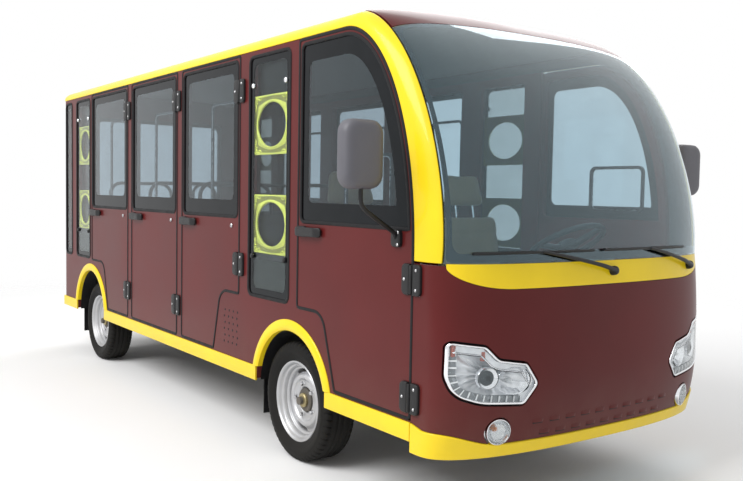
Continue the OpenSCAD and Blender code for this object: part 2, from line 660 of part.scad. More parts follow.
// cross-members between the axles, as shares of the wheelbase
mid_beams = [for (k = [0.32, 0.54, 0.763]) rear_axle_x + k*wheelbase];
tow_x = rear_x + 52;
tow_low = rail_low - 26;
module chassis_frame() color("#2c2d2f") {
    both() block(rear_x + 60, door_1_x1 + 11, -rail_place - 30, -rail_place + 30, rail_low, rail_top);
    end_beams = [rear_x + 90, rear_axle_x + 430, front_axle_x - 250, front_axle_x + 300, door_1_x1 - 69];
    for (x = concat(end_beams, mid_beams))
        block(x - 25, x + 25, -rail_place + 29, rail_place - 29, rail_low, rail_top - 8);
    both() for (x = [mid_beams[0], mid_beams[2]])
        block(x - 25, x + 25, -inner_y + 0.5, -rail_place - 29, rail_low + 10, rail_top - 8);
    // tow plate under the rear cross-member
    difference() {
        block(rear_x + 8, rear_x + 115, -45, 45, tow_low, tow_low + tow_thick);
        translate([tow_x, 0, tow_low - 1]) cylinder(r = tow_radius, h = tow_thick + 2);
    }
    block(rear_x + 75, rear_x + 115, -45, 45, tow_low, rail_low + 10);
}
module floor_pan() color("#47494c") {
    out_y = inner_y - 0.5;
    in_y = rail_place + 37;
    reach = arch_radius + 40;
    // each wheel box covers the wheel and its opening
    boxes = [[front_axle_x - reach, front_axle_x + reach], [rear_arch.x - reach, rear_axle_x + reach]];
    difference() {
        block(rear_x + 31, door_1_x1 + 31, -out_y, out_y, floor_height - 12, floor_height);
        for (v = boxes) both() block(v[0], v[1], -out_y - 1, -in_y, floor_height - 20, floor_height + 10);
    }
    for (v = boxes) both() difference() {
        block(v[0], v[1], -out_y, -in_y, floor_height - 12, box_top);
        block(v[0] + 12, v[1] - 12, -out_y - 1, -in_y - 12, floor_height - 20, box_top - 12);
    }
}
module battery_pack() color("#34383d") block(-battery_length/2 - 150, battery_length/2 - 150,
    -rail_place + 40, rail_place - 40, rail_low - 137, rail_low - 0.3);
beam_low = wheel_z - 85;
beam_top = wheel_z - 43;
module front_axle() color("#2c2d2f") {
    block(front_axle_x - 26, front_axle_x + 26, -pin_place + 30, pin_place - 30, beam_low, beam_top);
    both() {
        block(front_axle_x - 22, front_axle_x + 22, -pin_place + 28, -pin_place + 70, beam_low, wheel_z + 26);
        difference() {
            union() {
                translate([front_axle_x, -pin_place, wheel_z - 26]) cylinder(r = 22, h = 52);
                block(front_axle_x - 16, front_axle_x + 16, -pin_place, -pin_place + 30, wheel_z - 26, wheel_z + 26);
            }
            translate([front_axle_x, -pin_place, wheel_z - 40]) cylinder(r = 11.2, h = 80);
        }
    }
}
drum_y = hw - wheel_inset - tyre_width - 5;
module rear_axle() color("#2c2d2f") {
    translate([rear_axle_x, drum_y, wheel_z]) rotate([90, 0, 0]) cylinder(r = 31, h = 2*drum_y);
    translate([rear_axle_x, 0, wheel_z]) sphere(r = 105);
    translate([rear_axle_x + 60, 0, wheel_z]) rotate([0, 90, 0]) cylinder(r = 92, h = 330);
    both() {
        translate([rear_axle_x, -drum_y + 20, wheel_z]) rotate([90, 0, 0]) cylinder(r = 0.59*rim_radius, h = 40);
        translate([rear_axle_x, -drum_y, wheel_z]) rotate([90, 0, 0]) cylinder(r = 18, h = spindle_end - drum_y);
    }
}
function leaf_arc(half, rise, t) = let(r = (half*half + rise*rise)/(2*rise), e = asin(half/r))
    concat(arc([0, r], r, -90 - e, -90 + e, 12), arc([0, r], r - t, -90 + e, -90 - e, 12));
module spring(x, z) {
    half = 430;
    rise = rail_low - 12 - z;
    plate(rail_place - 25, rail_place + 25) translate([x, z]) polygon(leaf_arc(half, rise, 9));
    plate(rail_place - 25, rail_place + 25) translate([x, z - 8.5]) polygon(leaf_arc(half*0.7, rise*0.45, 9));
    plate(rail_place - 25, rail_place + 25) translate([x, z - 17]) polygon(leaf_arc(half*0.4, rise*0.14, 9));
    for (d = [-half, half]) translate([x + d, -rail_place + 25, rail_low - 12]) rotate([90, 0, 0])
        cylinder(r = 11.6, h = 50);
}
module leaf_springs() color("#3a3a3c") both() {
    spring(front_axle_x, beam_top + 17.3);
    translate([front_axle_x, -rail_place, beam_top + 20]) cylinder(r = 12, h = 14);
    spring(rear_axle_x, wheel_z - 31 - 9.3);
}
module mudflaps() color("#1d1d1e") both() for (c = [front_arch, rear_arch])
    block(c.x - arch_radius - 27.7, c.x - arch_radius - 21.7, -inner_y + 4, -hw + wheel_inset + tyre_width,
        0.52*tyre_radius, floor_height + 20);

// steering knuckles
spindle_end = hw - wheel_inset - 25;
module knuckle() {
    translate([front_axle_x, -pin_place, wheel_z - 44]) cylinder(r = 11, h = 88);
    for (d = [-44, 26.6]) {
        translate([front_axle_x, -pin_place, wheel_z + d]) cylinder(r = 22, h = 17.4);
        block(front_axle_x - 20, front_axle_x + 20, -pin_place - 40, -pin_place, wheel_z + d, wheel_z + d + 17.4);
    }
    block(front_axle_x - 20, front_axle_x + 20, -pin_place - 40, -pin_place - 26, wheel_z - 44, wheel_z + 44);
    translate([front_axle_x, -pin_place - 39, wheel_z]) rotate([90, 0, 0])
        cylinder(r = 18, h = spindle_end - pin_place - 39);
}
module knuckle_right() color("#3a3a3c") knuckle();
module knuckle_left() color("#3a3a3c") mirror([0, 1, 0]) knuckle();

// wheels: the profile is drawn with the distance from the axis first, the outer face up
module rim_profile() {
    r = rim_radius;
    w = 0.4*tyre_width;
    // barrel, from the outer flange in to the inner one and back
    polygon([[r, w], [r - 4, w], [r - 10, 0.91*w], [r - 14, 0.76*w], [r - 16, 0.42*w], [r - 34, 0.33*w],
        [r - 36, -0.33*w], [r - 16, -0.45*w], [r - 14, -0.79*w], [r - 10, -0.94*w], [r - 4, -w], [r, -w],
        [r, -0.94*w], [r - 6, -0.82*w], [r - 11, -0.73*w], [r - 12, -0.48*w], [r - 30, -0.36*w], [r - 30, 0.27*w],
        [r - 12, 0.39*w], [r - 11, 0.73*w], [r - 6, 0.85*w], [r, 0.94*w]]);
    // disc and hub
    polygon([[18.3, 0.2*w], [18.3, 0.75*w], [38, 0.75*w], [42, 0.45*w], [78, 0.42*w], [0.56*r, 0.3*w],
        [0.7*r, 0.36*w], [r - 33, 0.3*w], [r - 33, 0.16*w], [0.7*r, 0.2*w], [0.56*r, 0.16*w], [78, 0.26*w],
        [46, 0.3*w], [40, 0.2*w]]);
}
module rim_solid() {
    difference() {
        rotate_extrude() rim_profile();
        for (k = [0:7]) rotate(k*45 + 22.5) translate([0.635*rim_radius, 0, 0]) cylinder(r = 9, h = 60);
    }
    for (k = [0:4]) rotate(k*72) translate([60, 0, 0.17*tyre_width]) cylinder(r = 9, h = 12, $fn = 6);
}
module tyre_solid() {
    r = tyre_radius;
    b = rim_radius;
    w = tyre_width/2;
    rotate_extrude() polygon(concat(
        [[b + 0.4, w - 22], [b + 6, w - 12], [b + 22, w - 3], [b + 40, w], [r - 32, w - 2]],
        arc([r - 22, w - 24], 22, 80, 12, 6),
        [[r, w - 42], [r, -w + 42]],
        arc([r - 22, -w + 24], 22, -12, -80, 6),
        [[r - 32, -w + 2], [b + 40, -w], [b + 22, -w + 3], [b + 6, -w + 12], [b + 0.4, -w + 22],
            [b + 0.4, -0.757*w], [b - 5, -0.65*w], [b - 10, -0.57*w], [b - 10, 0.57*w], [b - 5, 0.65*w],
            [b + 0.4, 0.757*w]]));
}
module wheel_place(x, side) {
    translate([x, side*wheel_mid, wheel_z]) rotate([-90*side, 0, 0]) children();
}
module rim_front_right() color("#b8babd") wheel_place(front_axle_x, -1) rim_solid();
module rim_front_left() color("#b8babd") wheel_place(front_axle_x, 1) rim_solid();
module rim_rear_right() color("#b8babd") wheel_place(rear_axle_x, -1) rim_solid();
module rim_rear_left() color("#b8babd") wheel_place(rear_axle_x, 1) rim_solid();
module tyre_front_right() color("#1c1c1d") wheel_place(front_axle_x, -1) tyre_solid();
module tyre_front_left() color("#1c1c1d") wheel_place(front_axle_x, 1) tyre_solid();
module tyre_rear_right() color("#1c1c1d") wheel_place(rear_axle_x, -1) tyre_solid();
module tyre_rear_left() color("#1c1c1d") wheel_place(rear_axle_x, 1) tyre_solid();

// cabin
dash_x = door_1_x1 - 1;
driver_y = 0.474*hw;
hand_wheel = [dash_x - 275, driver_y, screen_base + 18];
column_lean = 32;
module column(r, z0, z1) {
    translate(hand_wheel) rotate([0, -column_lean, 0]) translate([0, 0, z0]) cylinder(r = r, h = z1 - z0);
}
module dashboard() color("#303236") difference() {
    wide = hw - 120;
    union() {
        translate([0, wide, 0]) rotate([90, 0, 0]) linear_extrude(2*wide) polygon(rounded([
            [dash_x, floor_height + 0.4, 0], [dash_x + 30, floor_height + 0.4, 0],
            [dash_x + 30, screen_base - 167, 0], [dash_x + 105, screen_base - 87, 0],
            [dash_x + 105, screen_base - 42, 20],
            [dash_x - 190, screen_base - 52, 50], [dash_x - 230, screen_base - 147, 40],
            [dash_x - 150, floor_height + 220, 60], [dash_x, floor_height + 140, 0]]));
        translate([dash_x - 120, driver_y, screen_base - 87]) rotate([0, 90, 0]) cylinder(r = 95, h = 60);
    }
    column(22.3, -190, -20);
}
module steering_wheel() color("#232427") {
    translate(hand_wheel) rotate([0, -column_lean, 0]) {
        rotate_extrude() translate([180, 0]) circle(r = 13);
        translate([0, 0, -18]) cylinder(r = 52, h = 30);
        for (k = [30, 150, 270]) rotate(k) block(0, 175, -14, 14, -10, 2);
    }
    column(22, -189.7, -10);
}
row_x = [front_axle_x + 20, door_2_x0 - 70, door_3_x0 - 70, door_4_x0 - 60];
cushion_low = box_top + seat_rise;
seat_height = cushion_low + seat_thick;
bench_half = hw - bench_gap;
module cushion(x, y0, y1) {
    translate([0, y1, 0]) rotate([90, 0, 0]) linear_extrude(y1 - y0) polygon(rounded([[x, cushion_low, 20],
        [x + seat_depth, cushion_low, 20], [x + seat_depth, seat_height - 12, 40], [x, seat_height, 30]]));
}
module backrest(x, y0, y1) {
    low = 20*cos(back_lean) - 65*sin(back_lean) - 20;
    translate([x - 2, y1, cushion_low - 0.1 - low]) rotate([90, 0, 0]) linear_extrude(y1 - y0) rotate(back_lean)
        polygon(rounded([[-85, 0, 20], [-15, 0, 20], [-15, back_height, 28], [-80, back_height, 28]]));
}
front_seats = [[-0.776*hw, -0.171*hw], [0.171*hw, 0.776*hw]];
module seat_cushions() color("#3a2a26") {
    for (s = front_seats) cushion(row_x[0], s[0], s[1]);
    for (k = [1:3]) cushion(row_x[k], -bench_half, bench_half);
}
module seat_backs() color("#3a2a26") {
    for (s = front_seats) backrest(row_x[0], s[0], s[1]);
    for (k = [1:3]) backrest(row_x[k], -bench_half, bench_half);
}
module seat_frames() color("#4a4c50") {
    z1 = cushion_low - 0.4;
    both() block(row_x[0] - 95, row_x[0] + seat_depth - 60, -rail_place - 30, -0.21*hw, floor_height + 0.4, z1);
    for (k = [1, 2]) block(row_x[k] - 95, row_x[k] + seat_depth - 60, -bench_half + 20, bench_half - 20,
        floor_height + 0.4, z1);
    block(row_x[3] - 95, row_x[3] + seat_depth - 60, -rail_place - 30, rail_place + 30, floor_height + 0.4, z1);
}

// mirrors on the two front doors
mirror_x = door_1_x1 - 79;
module mirror_solid() {
    y = hw + 190;
    z = window_bottom;
    translate([mirror_x - 10, 0, 0]) rotate([90, 0, 90]) linear_extrude(62) polygon(rounded([[-y - 85, z + 139, 45],
        [-y + 85, z + 139, 45], [-y + 85, z + 383, 45], [-y - 85, z + 383, 45]]));
    elbow = [mirror_x + 16, -y + 8, z + 82];
    knee = [mirror_x, -hw - 40, z - 3];
    rod([mirror_x + 20, -y, z + 145], elbow, 9);
    translate(elbow) sphere(r = 11);
    rod(elbow, knee, 9);
    translate(knee) sphere(r = 11);
    rod(knee, [mirror_x - 10, -hw - 9, z - 34], 9);
    slab(hw + 0.3, hw + 9, mirror_x - 36, mirror_x + 18, z - 71, z - 11, 12);
}
module mirror_right() color("#4b4d50") mirror_solid();
module mirror_left() color("#4b4d50") mirror([0, 1, 0]) mirror_solid();

chassis_frame();
floor_pan();
battery_pack();
front_axle();
rear_axle();
leaf_springs();
side_frame_right();
side_frame_left();
roof_panel();
pillar_hoop();
front_cowl();
scuttle_panel();
front_bumper();
sill_trim();
windscreen();
rear_wall();
fixed_glass();
decor_panels();
headlamp_housings();
headlamp_lenses();
fog_lamps();
tail_lamps();
wipers();
dashboard();
steering_wheel();
seat_cushions();
seat_backs();
seat_frames();
mudflaps();
hinge_mounts();
door_1_panel();
door_1_glass();
door_1_hardware();
door_2_panel();
door_2_glass();
door_2_hardware();
door_3_panel();
door_3_glass();
door_3_hardware();
door_4_panel();
door_4_glass();
door_4_hardware();
driver_door_panel();
driver_door_glass();
driver_door_hardware();
mirror_right();
mirror_left();
knuckle_right();
knuckle_left();
rim_front_right();
rim_front_left();
rim_rear_right();
rim_rear_left();
tyre_front_right();
tyre_front_left();
tyre_rear_right();
tyre_rear_left();
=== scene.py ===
"""Looks of the electric sightseeing shuttle bus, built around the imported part.

Metres, in the frame of the part: +X forward, +Y the left of the bus, +Z up, ground at Z = 0.
New pieces are numpy surfaces: a function of two parameters on a grid, or a profile carried along a path.
"""
import bmesh
import bpy
import numpy as np
from mathutils import Matrix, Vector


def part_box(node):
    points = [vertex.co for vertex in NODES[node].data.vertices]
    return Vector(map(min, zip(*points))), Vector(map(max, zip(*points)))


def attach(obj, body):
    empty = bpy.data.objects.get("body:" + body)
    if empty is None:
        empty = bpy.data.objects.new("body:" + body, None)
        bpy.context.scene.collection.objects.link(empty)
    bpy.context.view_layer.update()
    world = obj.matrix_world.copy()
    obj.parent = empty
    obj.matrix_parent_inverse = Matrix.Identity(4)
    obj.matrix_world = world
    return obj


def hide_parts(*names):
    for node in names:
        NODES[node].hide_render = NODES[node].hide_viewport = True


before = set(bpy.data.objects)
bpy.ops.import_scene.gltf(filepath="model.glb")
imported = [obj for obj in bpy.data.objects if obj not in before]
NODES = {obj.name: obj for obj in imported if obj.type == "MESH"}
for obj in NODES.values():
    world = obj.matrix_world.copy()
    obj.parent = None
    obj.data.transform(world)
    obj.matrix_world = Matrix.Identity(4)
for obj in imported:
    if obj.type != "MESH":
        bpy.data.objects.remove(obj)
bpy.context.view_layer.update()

# Sizes read from the frame
HALF = -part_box("side_frame_right")[0].y
ROOF_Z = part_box("roof_panel")[1].z
NOSE_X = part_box("front_cowl")[1].x
TAIL_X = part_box("sill_trim")[0].x
TYRE_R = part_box("tyre_front_right")[1].z/2
TYRE_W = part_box("tyre_front_right")[1].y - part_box("tyre_front_right")[0].y
WHEEL_Y = (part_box("tyre_front_left")[0].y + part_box("tyre_front_left")[1].y)/2
FRONT_AXLE_X = (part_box("tyre_front_left")[0].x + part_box("tyre_front_left")[1].x)/2
REAR_AXLE_X = (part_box("tyre_rear_left")[0].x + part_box("tyre_rear_left")[1].x)/2
FLOOR_Z = TYRE_R + 0.152

# Heights
SILL_TOP = FLOOR_Z - 0.040
SILL_LOW = SILL_TOP - 0.070
LIP_LOW = SILL_LOW - 0.040
DOOR_LOW = SILL_TOP + 0.013
WINDOW_LOW = FLOOR_Z + 0.663
SCREEN_LOW = FLOOR_Z + 0.547
SIDE_TOP = ROOF_Z - 0.100
DOOR_TOP = SIDE_TOP - 0.008
ARCH_R = TYRE_R + 0.037
ARCH_TRIM = 0.047
FRONT_ARCH = np.array([FRONT_AXLE_X, TYRE_R + 0.020])
REAR_ARCH = np.array([REAR_AXLE_X - 0.080, TYRE_R + 0.052])
SHOULDER = REAR_ARCH[1] + ARCH_R + ARCH_TRIM + 0.034

# Doors: rear edge, front edge
DOOR_GAP = 0.008
DOOR_1 = (FRONT_AXLE_X + 0.065, NOSE_X - 0.291)
DOOR_RUN = (FRONT_AXLE_X - 0.500) - (REAR_AXLE_X - 0.050) - 0.150
DOOR_2 = (FRONT_AXLE_X - 0.500 - 0.326*DOOR_RUN, FRONT_AXLE_X - 0.500)
DOOR_3 = (DOOR_2[0] - 0.075 - 0.336*DOOR_RUN, DOOR_2[0] - 0.075)
DOOR_4 = (REAR_AXLE_X - 0.050, DOOR_3[0] - 0.075)
DOORS = {1: DOOR_1, 2: DOOR_2, 3: DOOR_3, 4: DOOR_4}
BEND = np.array([DOOR_1[1] - 0.460, SCREEN_LOW + 0.033])
BEND_RX = 0.460
BEND_RZ = DOOR_TOP - BEND[1]
FOOT_1 = (FRONT_AXLE_X + ARCH_R + 0.067, FRONT_AXLE_X + ARCH_R - 0.034)
FOOT_2 = (FRONT_AXLE_X - ARCH_R - 0.481, FRONT_AXLE_X - ARCH_R - 0.400)
FOOT_4 = (REAR_ARCH[0] + ARCH_R + 0.063, REAR_ARCH[0] + ARCH_R - 0.024)
WINDOW_FRAME = 0.022
CORNER_R, SHOULDER_R, FOOT_R = 0.015, 0.012, 0.090

# Fixed side windows: rear edge, front edge
PANE_B = (FRONT_AXLE_X - 0.395, FRONT_AXLE_X - 0.018)
PANE_R = (TAIL_X + 0.305, DOOR_4[0] - 0.045)
PANE_N = (TAIL_X + 0.040, TAIL_X + 0.190)
PANE_LOW = SHOULDER + 0.010
PANE_TOP = SIDE_TOP - 0.030
GLASS_OUT = HALF - 0.004
GLASS_IN = HALF - 0.008

# Front shape
PLAN_POWER = 2.5
PLAN_FALL = 0.200
ROOF_FALL = 0.057
ROOF_HALF = HALF - 0.034
RISE_POWER = 1.731
SWEEP = 0.669
BASE_X = NOSE_X - 0.023
BULGE_Z = FLOOR_Z + 0.140
GLASS_EDGE = 0.967
GLASS_TOP = 68.8
PILLAR_EDGE = 0.972
SEAM = 0.002

# Angle in degrees above which an edge stays sharp
SHARP = 35


# Small maths
def mix(a, b, s):
    """Straight line from a to b by the share s."""
    return a + (b - a)*s


def ease(s):
    """S-shaped step from 0 to 1: 3 s squared less 2 s cubed, held at both ends."""
    s = np.clip(s, 0, 1)
    return s*s*(3 - 2*s)


def cosd(a):
    return np.cos(np.radians(a))


def sind(a):
    return np.sin(np.radians(a))


def round_angles(count):
    """Even angles all round a circle."""
    return np.linspace(0, 2*np.pi, count, endpoint=False)


def stack(x, y, z):
    """Joins three coordinate arrays, spread to one shape, into points."""
    return np.stack(np.broadcast_arrays(x, y, z), axis=-1).astype(float)


def across(n, edge):
    """2n+1 shares from -edge to edge, closer together at both ends: edge times the sine of an even angle."""
    return edge*np.sin(np.linspace(-np.pi/2, np.pi/2, 2*n + 1))


def fall(t):
    """Superellipse fall: 1 less the 2.5th root of 1 less t to the power 2.5."""
    return 1 - (1 - np.minimum(1, np.abs(t)**PLAN_POWER))**(1/PLAN_POWER)


def screen(a, t):
    """Windscreen and roof front: a superellipse quarter at the angle a in degrees, bent back across by the
    fall."""
    s = a/90
    x = BASE_X - SWEEP + SWEEP*np.maximum(cosd(a), 0)**(2/RISE_POWER)
    z = SCREEN_LOW + (ROOF_Z - SCREEN_LOW)*np.maximum(sind(a), 0)**(2/RISE_POWER)
    d = mix(PLAN_FALL, ROOF_FALL, s)*fall(t)
    return stack(x - d*cosd(a), t*mix(HALF, ROOF_HALF, s), z - d*sind(a))


def face_x(z):
    """Front profile: one parabola above the bulge and one below it."""
    above = NOSE_X - (NOSE_X - BASE_X)*((z - BULGE_Z)/(SCREEN_LOW - BULGE_Z))**2
    below = NOSE_X - 0.045*((BULGE_Z - z)/(BULGE_Z - LIP_LOW))**2
    return np.where(z > BULGE_Z, above, below)


def front_face(z, t):
    """Front below the windscreen: the profile less the fall for t up to 1, then straight back along the side
    to t = 2."""
    nose = face_x(z) - PLAN_FALL*fall(t)
    back = mix(face_x(z) - PLAN_FALL, DOOR_1[1] + DOOR_GAP, np.clip(np.abs(t) - 1, 0, 1))
    return stack(np.where(np.abs(t) <= 1, nose, back), np.clip(t, -1, 1)*HALF, z)


def lip_top(t):
    """Top of the yellow lip: level, rising round the corner, then on to the sill band."""
    return SILL_TOP - 0.062 + 0.047*ease((np.abs(t) - 0.7)/0.3) + 0.014*np.maximum(0, np.abs(t) - 1)


def scuttle_low(t):
    """Lower edge of the scuttle: level, turning up at the corners along a quarter ellipse."""
    s = np.clip((np.abs(t) - 0.632)/0.329, 0, 1)
    return SCREEN_LOW - 0.090 + 0.084*(1 - np.sqrt(1 - s*s))


def normals(p):
    """Unit normals of a grid: the cross product of its two slopes."""
    n = np.cross(np.gradient(p, axis=0), np.gradient(p, axis=1))
    return n/np.maximum(np.linalg.norm(n, axis=-1, keepdims=True), 1e-12)


def outward(p, at):
    """Unit normals of a grid, turned so that the one at a row and column points along an axis."""
    n = normals(p)
    return n*np.sign(n[at])


def loop_normals(loop):
    """Outward unit normals of a closed plane outline that runs anticlockwise: its slope turned by a right
    angle."""
    d = np.roll(loop, -1, axis=0) - np.roll(loop, 1, axis=0)
    n = np.stack([d[:, 1], -d[:, 0]], axis=-1)
    return n/np.linalg.norm(n, axis=-1, keepdims=True)


def evenly(loop, count):
    """The closed outline with count points at even distances along it."""
    closed = np.vstack([loop, loop[:1]])
    run = np.concatenate([[0], np.cumsum(np.linalg.norm(np.diff(closed, axis=0), axis=1))])
    at = np.linspace(0, run[-1], count, endpoint=False)
    return np.stack([np.interp(at, run, closed[:, k]) for k in range(2)], axis=-1)


def by_angle(loop, mid, count):
    """The closed outline with count points at even angles as seen from mid, on straight lines between its
    own points."""
    d = loop - mid
    a = np.arctan2(d[:, 1], d[:, 0])
    order = np.argsort(a)
    a, d = a[order], d[order]
    a = np.concatenate([a[-1:] - 2*np.pi, a, a[:1] + 2*np.pi])
    d = np.vstack([d[-1:], d, d[:1]])
    at = np.linspace(-np.pi, np.pi, count, endpoint=False)
    k = np.clip(np.searchsorted(a, at, side="right") - 1, 0, len(a) - 2)
    ray = np.stack([np.cos(at), np.sin(at)], axis=-1)
    e = d[k + 1] - d[k]
    reach = (d[k, 0]*e[:, 1] - d[k, 1]*e[:, 0])/(ray[:, 0]*e[:, 1] - ray[:, 1]*e[:, 0])
    return mid + ray*reach[:, None]


def rounded(corners, cells=10):
    """Closed outline from corners (x, z, radius): each corner becomes the arc that touches both of its
    edges."""
    pts = np.array([c[:2] for c in corners], float)
    parts = []
    for k, (x, z, radius) in enumerate(corners):
        q = pts[k]
        if radius <= 0:
            parts.append(q[None])
            continue
        a = pts[k - 1] - q
        b = pts[(k + 1) % len(pts)] - q
        a, b = a/np.linalg.norm(a), b/np.linalg.norm(b)
        half = np.arccos(np.clip(a @ b, -1, 1))/2
        mid = (a + b)/np.linalg.norm(a + b)
        centre = q + mid*radius/np.sin(half)
        start = q + a*radius/np.tan(half) - centre
        end = q + b*radius/np.tan(half) - centre
        a0 = np.arctan2(start[1], start[0])
        turn = (np.arctan2(end[1], end[0]) - a0 + np.pi) % (2*np.pi) - np.pi
        ang = a0 + turn*np.linspace(0, 1, cells + 1)
        parts.append(centre + radius*np.stack([np.cos(ang), np.sin(ang)], axis=-1))
    return np.vstack(parts)


def rectangle(x0, x1, z0, z1, radius, grow=0.0, cells=10):
    """Rounded rectangle, grown on all sides."""
    x0, x1, z0, z1 = x0 - grow, x1 + grow, z0 - grow, z1 + grow
    return rounded([(x0, z0, radius), (x1, z0, radius), (x1, z1, radius), (x0, z1, radius)], cells)


def bend_arc(grow, start=0.0):
    """The quarter ellipse along the front of the front door, from the start angle up to the top."""
    a = np.linspace(start, 90, 40)
    arc = np.stack([BEND[0] + (BEND_RX + grow)*cosd(a), BEND[1] + (BEND_RZ + grow)*sind(a)], axis=-1)
    return [(x, z, 0) for x, z in arc]


def door_outline(which, g=0.0):
    """Outline of a right-hand door in X and Z, g wider all round. A door beside a wheel has a foot cut clear
    of it."""
    s = 1.05*g
    back, front = DOORS[which][0] - g, DOORS[which][1] + g
    low, high, shoulder = DOOR_LOW - g, DOOR_TOP + g, SHOULDER - g
    if which == 3:
        return rectangle(*DOORS[3], DOOR_LOW, DOOR_TOP, CORNER_R, g)
    if which == 2:
        return rounded([(back, low, CORNER_R), (FOOT_2[0] + s, low, CORNER_R),
                        (FOOT_2[1] + s, shoulder, FOOT_R - g), (front, shoulder, SHOULDER_R),
                        (front, high, CORNER_R), (back, high, CORNER_R)])
    foot = FOOT_1 if which == 1 else FOOT_4
    top = bend_arc(g) if which == 1 else [(front, high, CORNER_R)]
    return rounded([(foot[0] - s, low, CORNER_R), (front, low, CORNER_R), *top, (back, high, CORNER_R),
                    (back, shoulder, SHOULDER_R), (foot[1] - s, shoulder, FOOT_R - g)])


def door_window(which, side, bottom, top, radius):
    """Outline drawn in from a door's window frame by the given distances. The front door's follows its
    bend."""
    x0, x1 = DOORS[which][0] + WINDOW_FRAME + side, DOORS[which][1] - WINDOW_FRAME - side
    low, inset = WINDOW_LOW + bottom, WINDOW_FRAME + top
    if which != 1:
        return rectangle(x0, x1, low, DOOR_TOP - inset, radius)
    start = np.degrees(np.arcsin((low - BEND[1])/(BEND_RZ - inset)))
    return rounded([(x0, low, radius), *bend_arc(-inset, start), (x0, DOOR_TOP - inset, radius)])


# Mesh making
def linked(name, data):
    """Object in the scene that holds the given data."""
    obj = bpy.data.objects.new(name, data)
    bpy.context.scene.collection.objects.link(obj)
    return obj


def new_object(name, part):
    """Object in the scene whose mesh has the given points and faces."""
    mesh = bpy.data.meshes.new(name)
    mesh.from_pydata(np.asarray(part[0], float).reshape(-1, 3).tolist(), [], np.asarray(part[1]).tolist())
    return linked(name, mesh)


def finished_mesh(obj):
    """Copy of an object's mesh with its modifiers applied."""
    bpy.context.view_layer.update()
    return bpy.data.meshes.new_from_object(obj.evaluated_get(bpy.context.evaluated_depsgraph_get()))


def piece(name, part, material, slot, replaces=(), body="body", angle=SHARP, bevel=0.0, closed=True):
    """Object from point and face arrays, smooth up to the given angle, riding on a body. Points that fall
    together are merged, and on a closed piece all faces are turned out."""
    obj = new_object(name, part)
    mesh = obj.data
    work = bmesh.new()
    work.from_mesh(mesh)
    bmesh.ops.remove_doubles(work, verts=work.verts, dist=1e-6)
    if closed:
        bmesh.ops.recalc_face_normals(work, faces=work.faces)
    work.to_mesh(mesh)
    work.free()
    mesh.shade_smooth()
    mesh.set_sharp_from_angle(angle=np.radians(angle))
    mesh.materials.append(material)
    if bevel > 0:
        edge = obj.modifiers.new("edge", "BEVEL")
        edge.width = bevel
        edge.segments = 3
        edge.limit_method = "ANGLE"
        edge.angle_limit = np.radians(40)
    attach(obj, body)
    if replaces:
        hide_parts(*replaces)
    return obj


def pair(name, parts, *rest, **more):
    """Piece made of parts of one side and the same parts on the other side."""
    return piece(name, both_sides(joined(parts)), *rest, **more)


def grid_quads(m, n, wrap_u=False, wrap_v=False, first=0):
    """Corner numbers of the cells of an m by n grid of points, closed round in either direction."""
    i, j = np.meshgrid(np.arange(m if wrap_u else m - 1), np.arange(n if wrap_v else n - 1), indexing="ij")
    k, l = (i + 1) % m, (j + 1) % n
    return np.stack([i*n + j, k*n + j, k*n + l, i*n + l], axis=-1).reshape(-1, 4) + first


def band_mesh(rows, closed=False, turn=False):
    """Faces of rows of closed loops, with the last row joined to the first where asked."""
    q = grid_quads(rows.shape[0], rows.shape[1], closed, True)
    return rows.reshape(-1, 3), (q[:, ::-1] if turn else q)


def on_right(xz, y):
    """Points of the right side from X and Z, at the distance y from the middle."""
    return stack(xz[..., 0], -y, xz[..., 1])


def joined(parts):
    """Several (points, quads) sets as one."""
    verts, quads, first = [], [], 0
    for v, q in parts:
        v = np.asarray(v, float).reshape(-1, 3)
        verts.append(v)
        quads.append(np.asarray(q) + first)
        first += len(v)
    return np.vstack(verts), np.vstack(quads)


def shell(p, thick, outward):
    """Closed skin: the grid p, the same grid moved in along its normals by thick, and the four edge strips.
    outward is a direction that the outer side faces on the whole, to turn the faces right."""
    n = normals(p)
    if (n.reshape(-1, 3) @ np.asarray(outward, float)).mean() < 0:
        p, n = p[:, ::-1], -n[:, ::-1]
    m, k = p.shape[:2]
    inner = p - n*thick
    rim = np.concatenate([np.arange(k), np.arange(1, m)*k + k - 1, (m - 1)*k + np.arange(k - 2, -1, -1),
                          np.arange(m - 2, 0, -1)*k])
    nxt = np.roll(rim, -1)
    size = m*k
    strip = np.stack([rim, rim + size, nxt + size, nxt], axis=-1)
    outer = grid_quads(m, k)
    back = grid_quads(m, k, first=size)[:, ::-1]
    return np.concatenate([p.reshape(-1, 3), inner.reshape(-1, 3)]), np.vstack([outer, back, strip[:, ::-1]])


def tube(path, radius, cells=12):
    """Round tube along a path: a circle across the path, turned by the path's own flattest plane, with the
    two ends drawn in to a point."""
    path = np.asarray(path, float)
    d = np.gradient(path, axis=0)
    d /= np.linalg.norm(d, axis=1, keepdims=True)
    u = np.cross(d, np.linalg.svd(path - path.mean(0))[2][2])
    u /= np.linalg.norm(u, axis=1, keepdims=True)
    v = np.cross(d, u)
    r = np.broadcast_to(radius, len(path)).astype(float)
    a = round_angles(cells)
    ring = path[:, None] + r[:, None, None]*(np.cos(a)[None, :, None]*u[:, None]
                                             + np.sin(a)[None, :, None]*v[:, None])
    ring = np.concatenate([np.repeat(path[:1, None], cells, 1), ring, np.repeat(path[-1:, None], cells, 1)])
    return band_mesh(ring, turn=True)


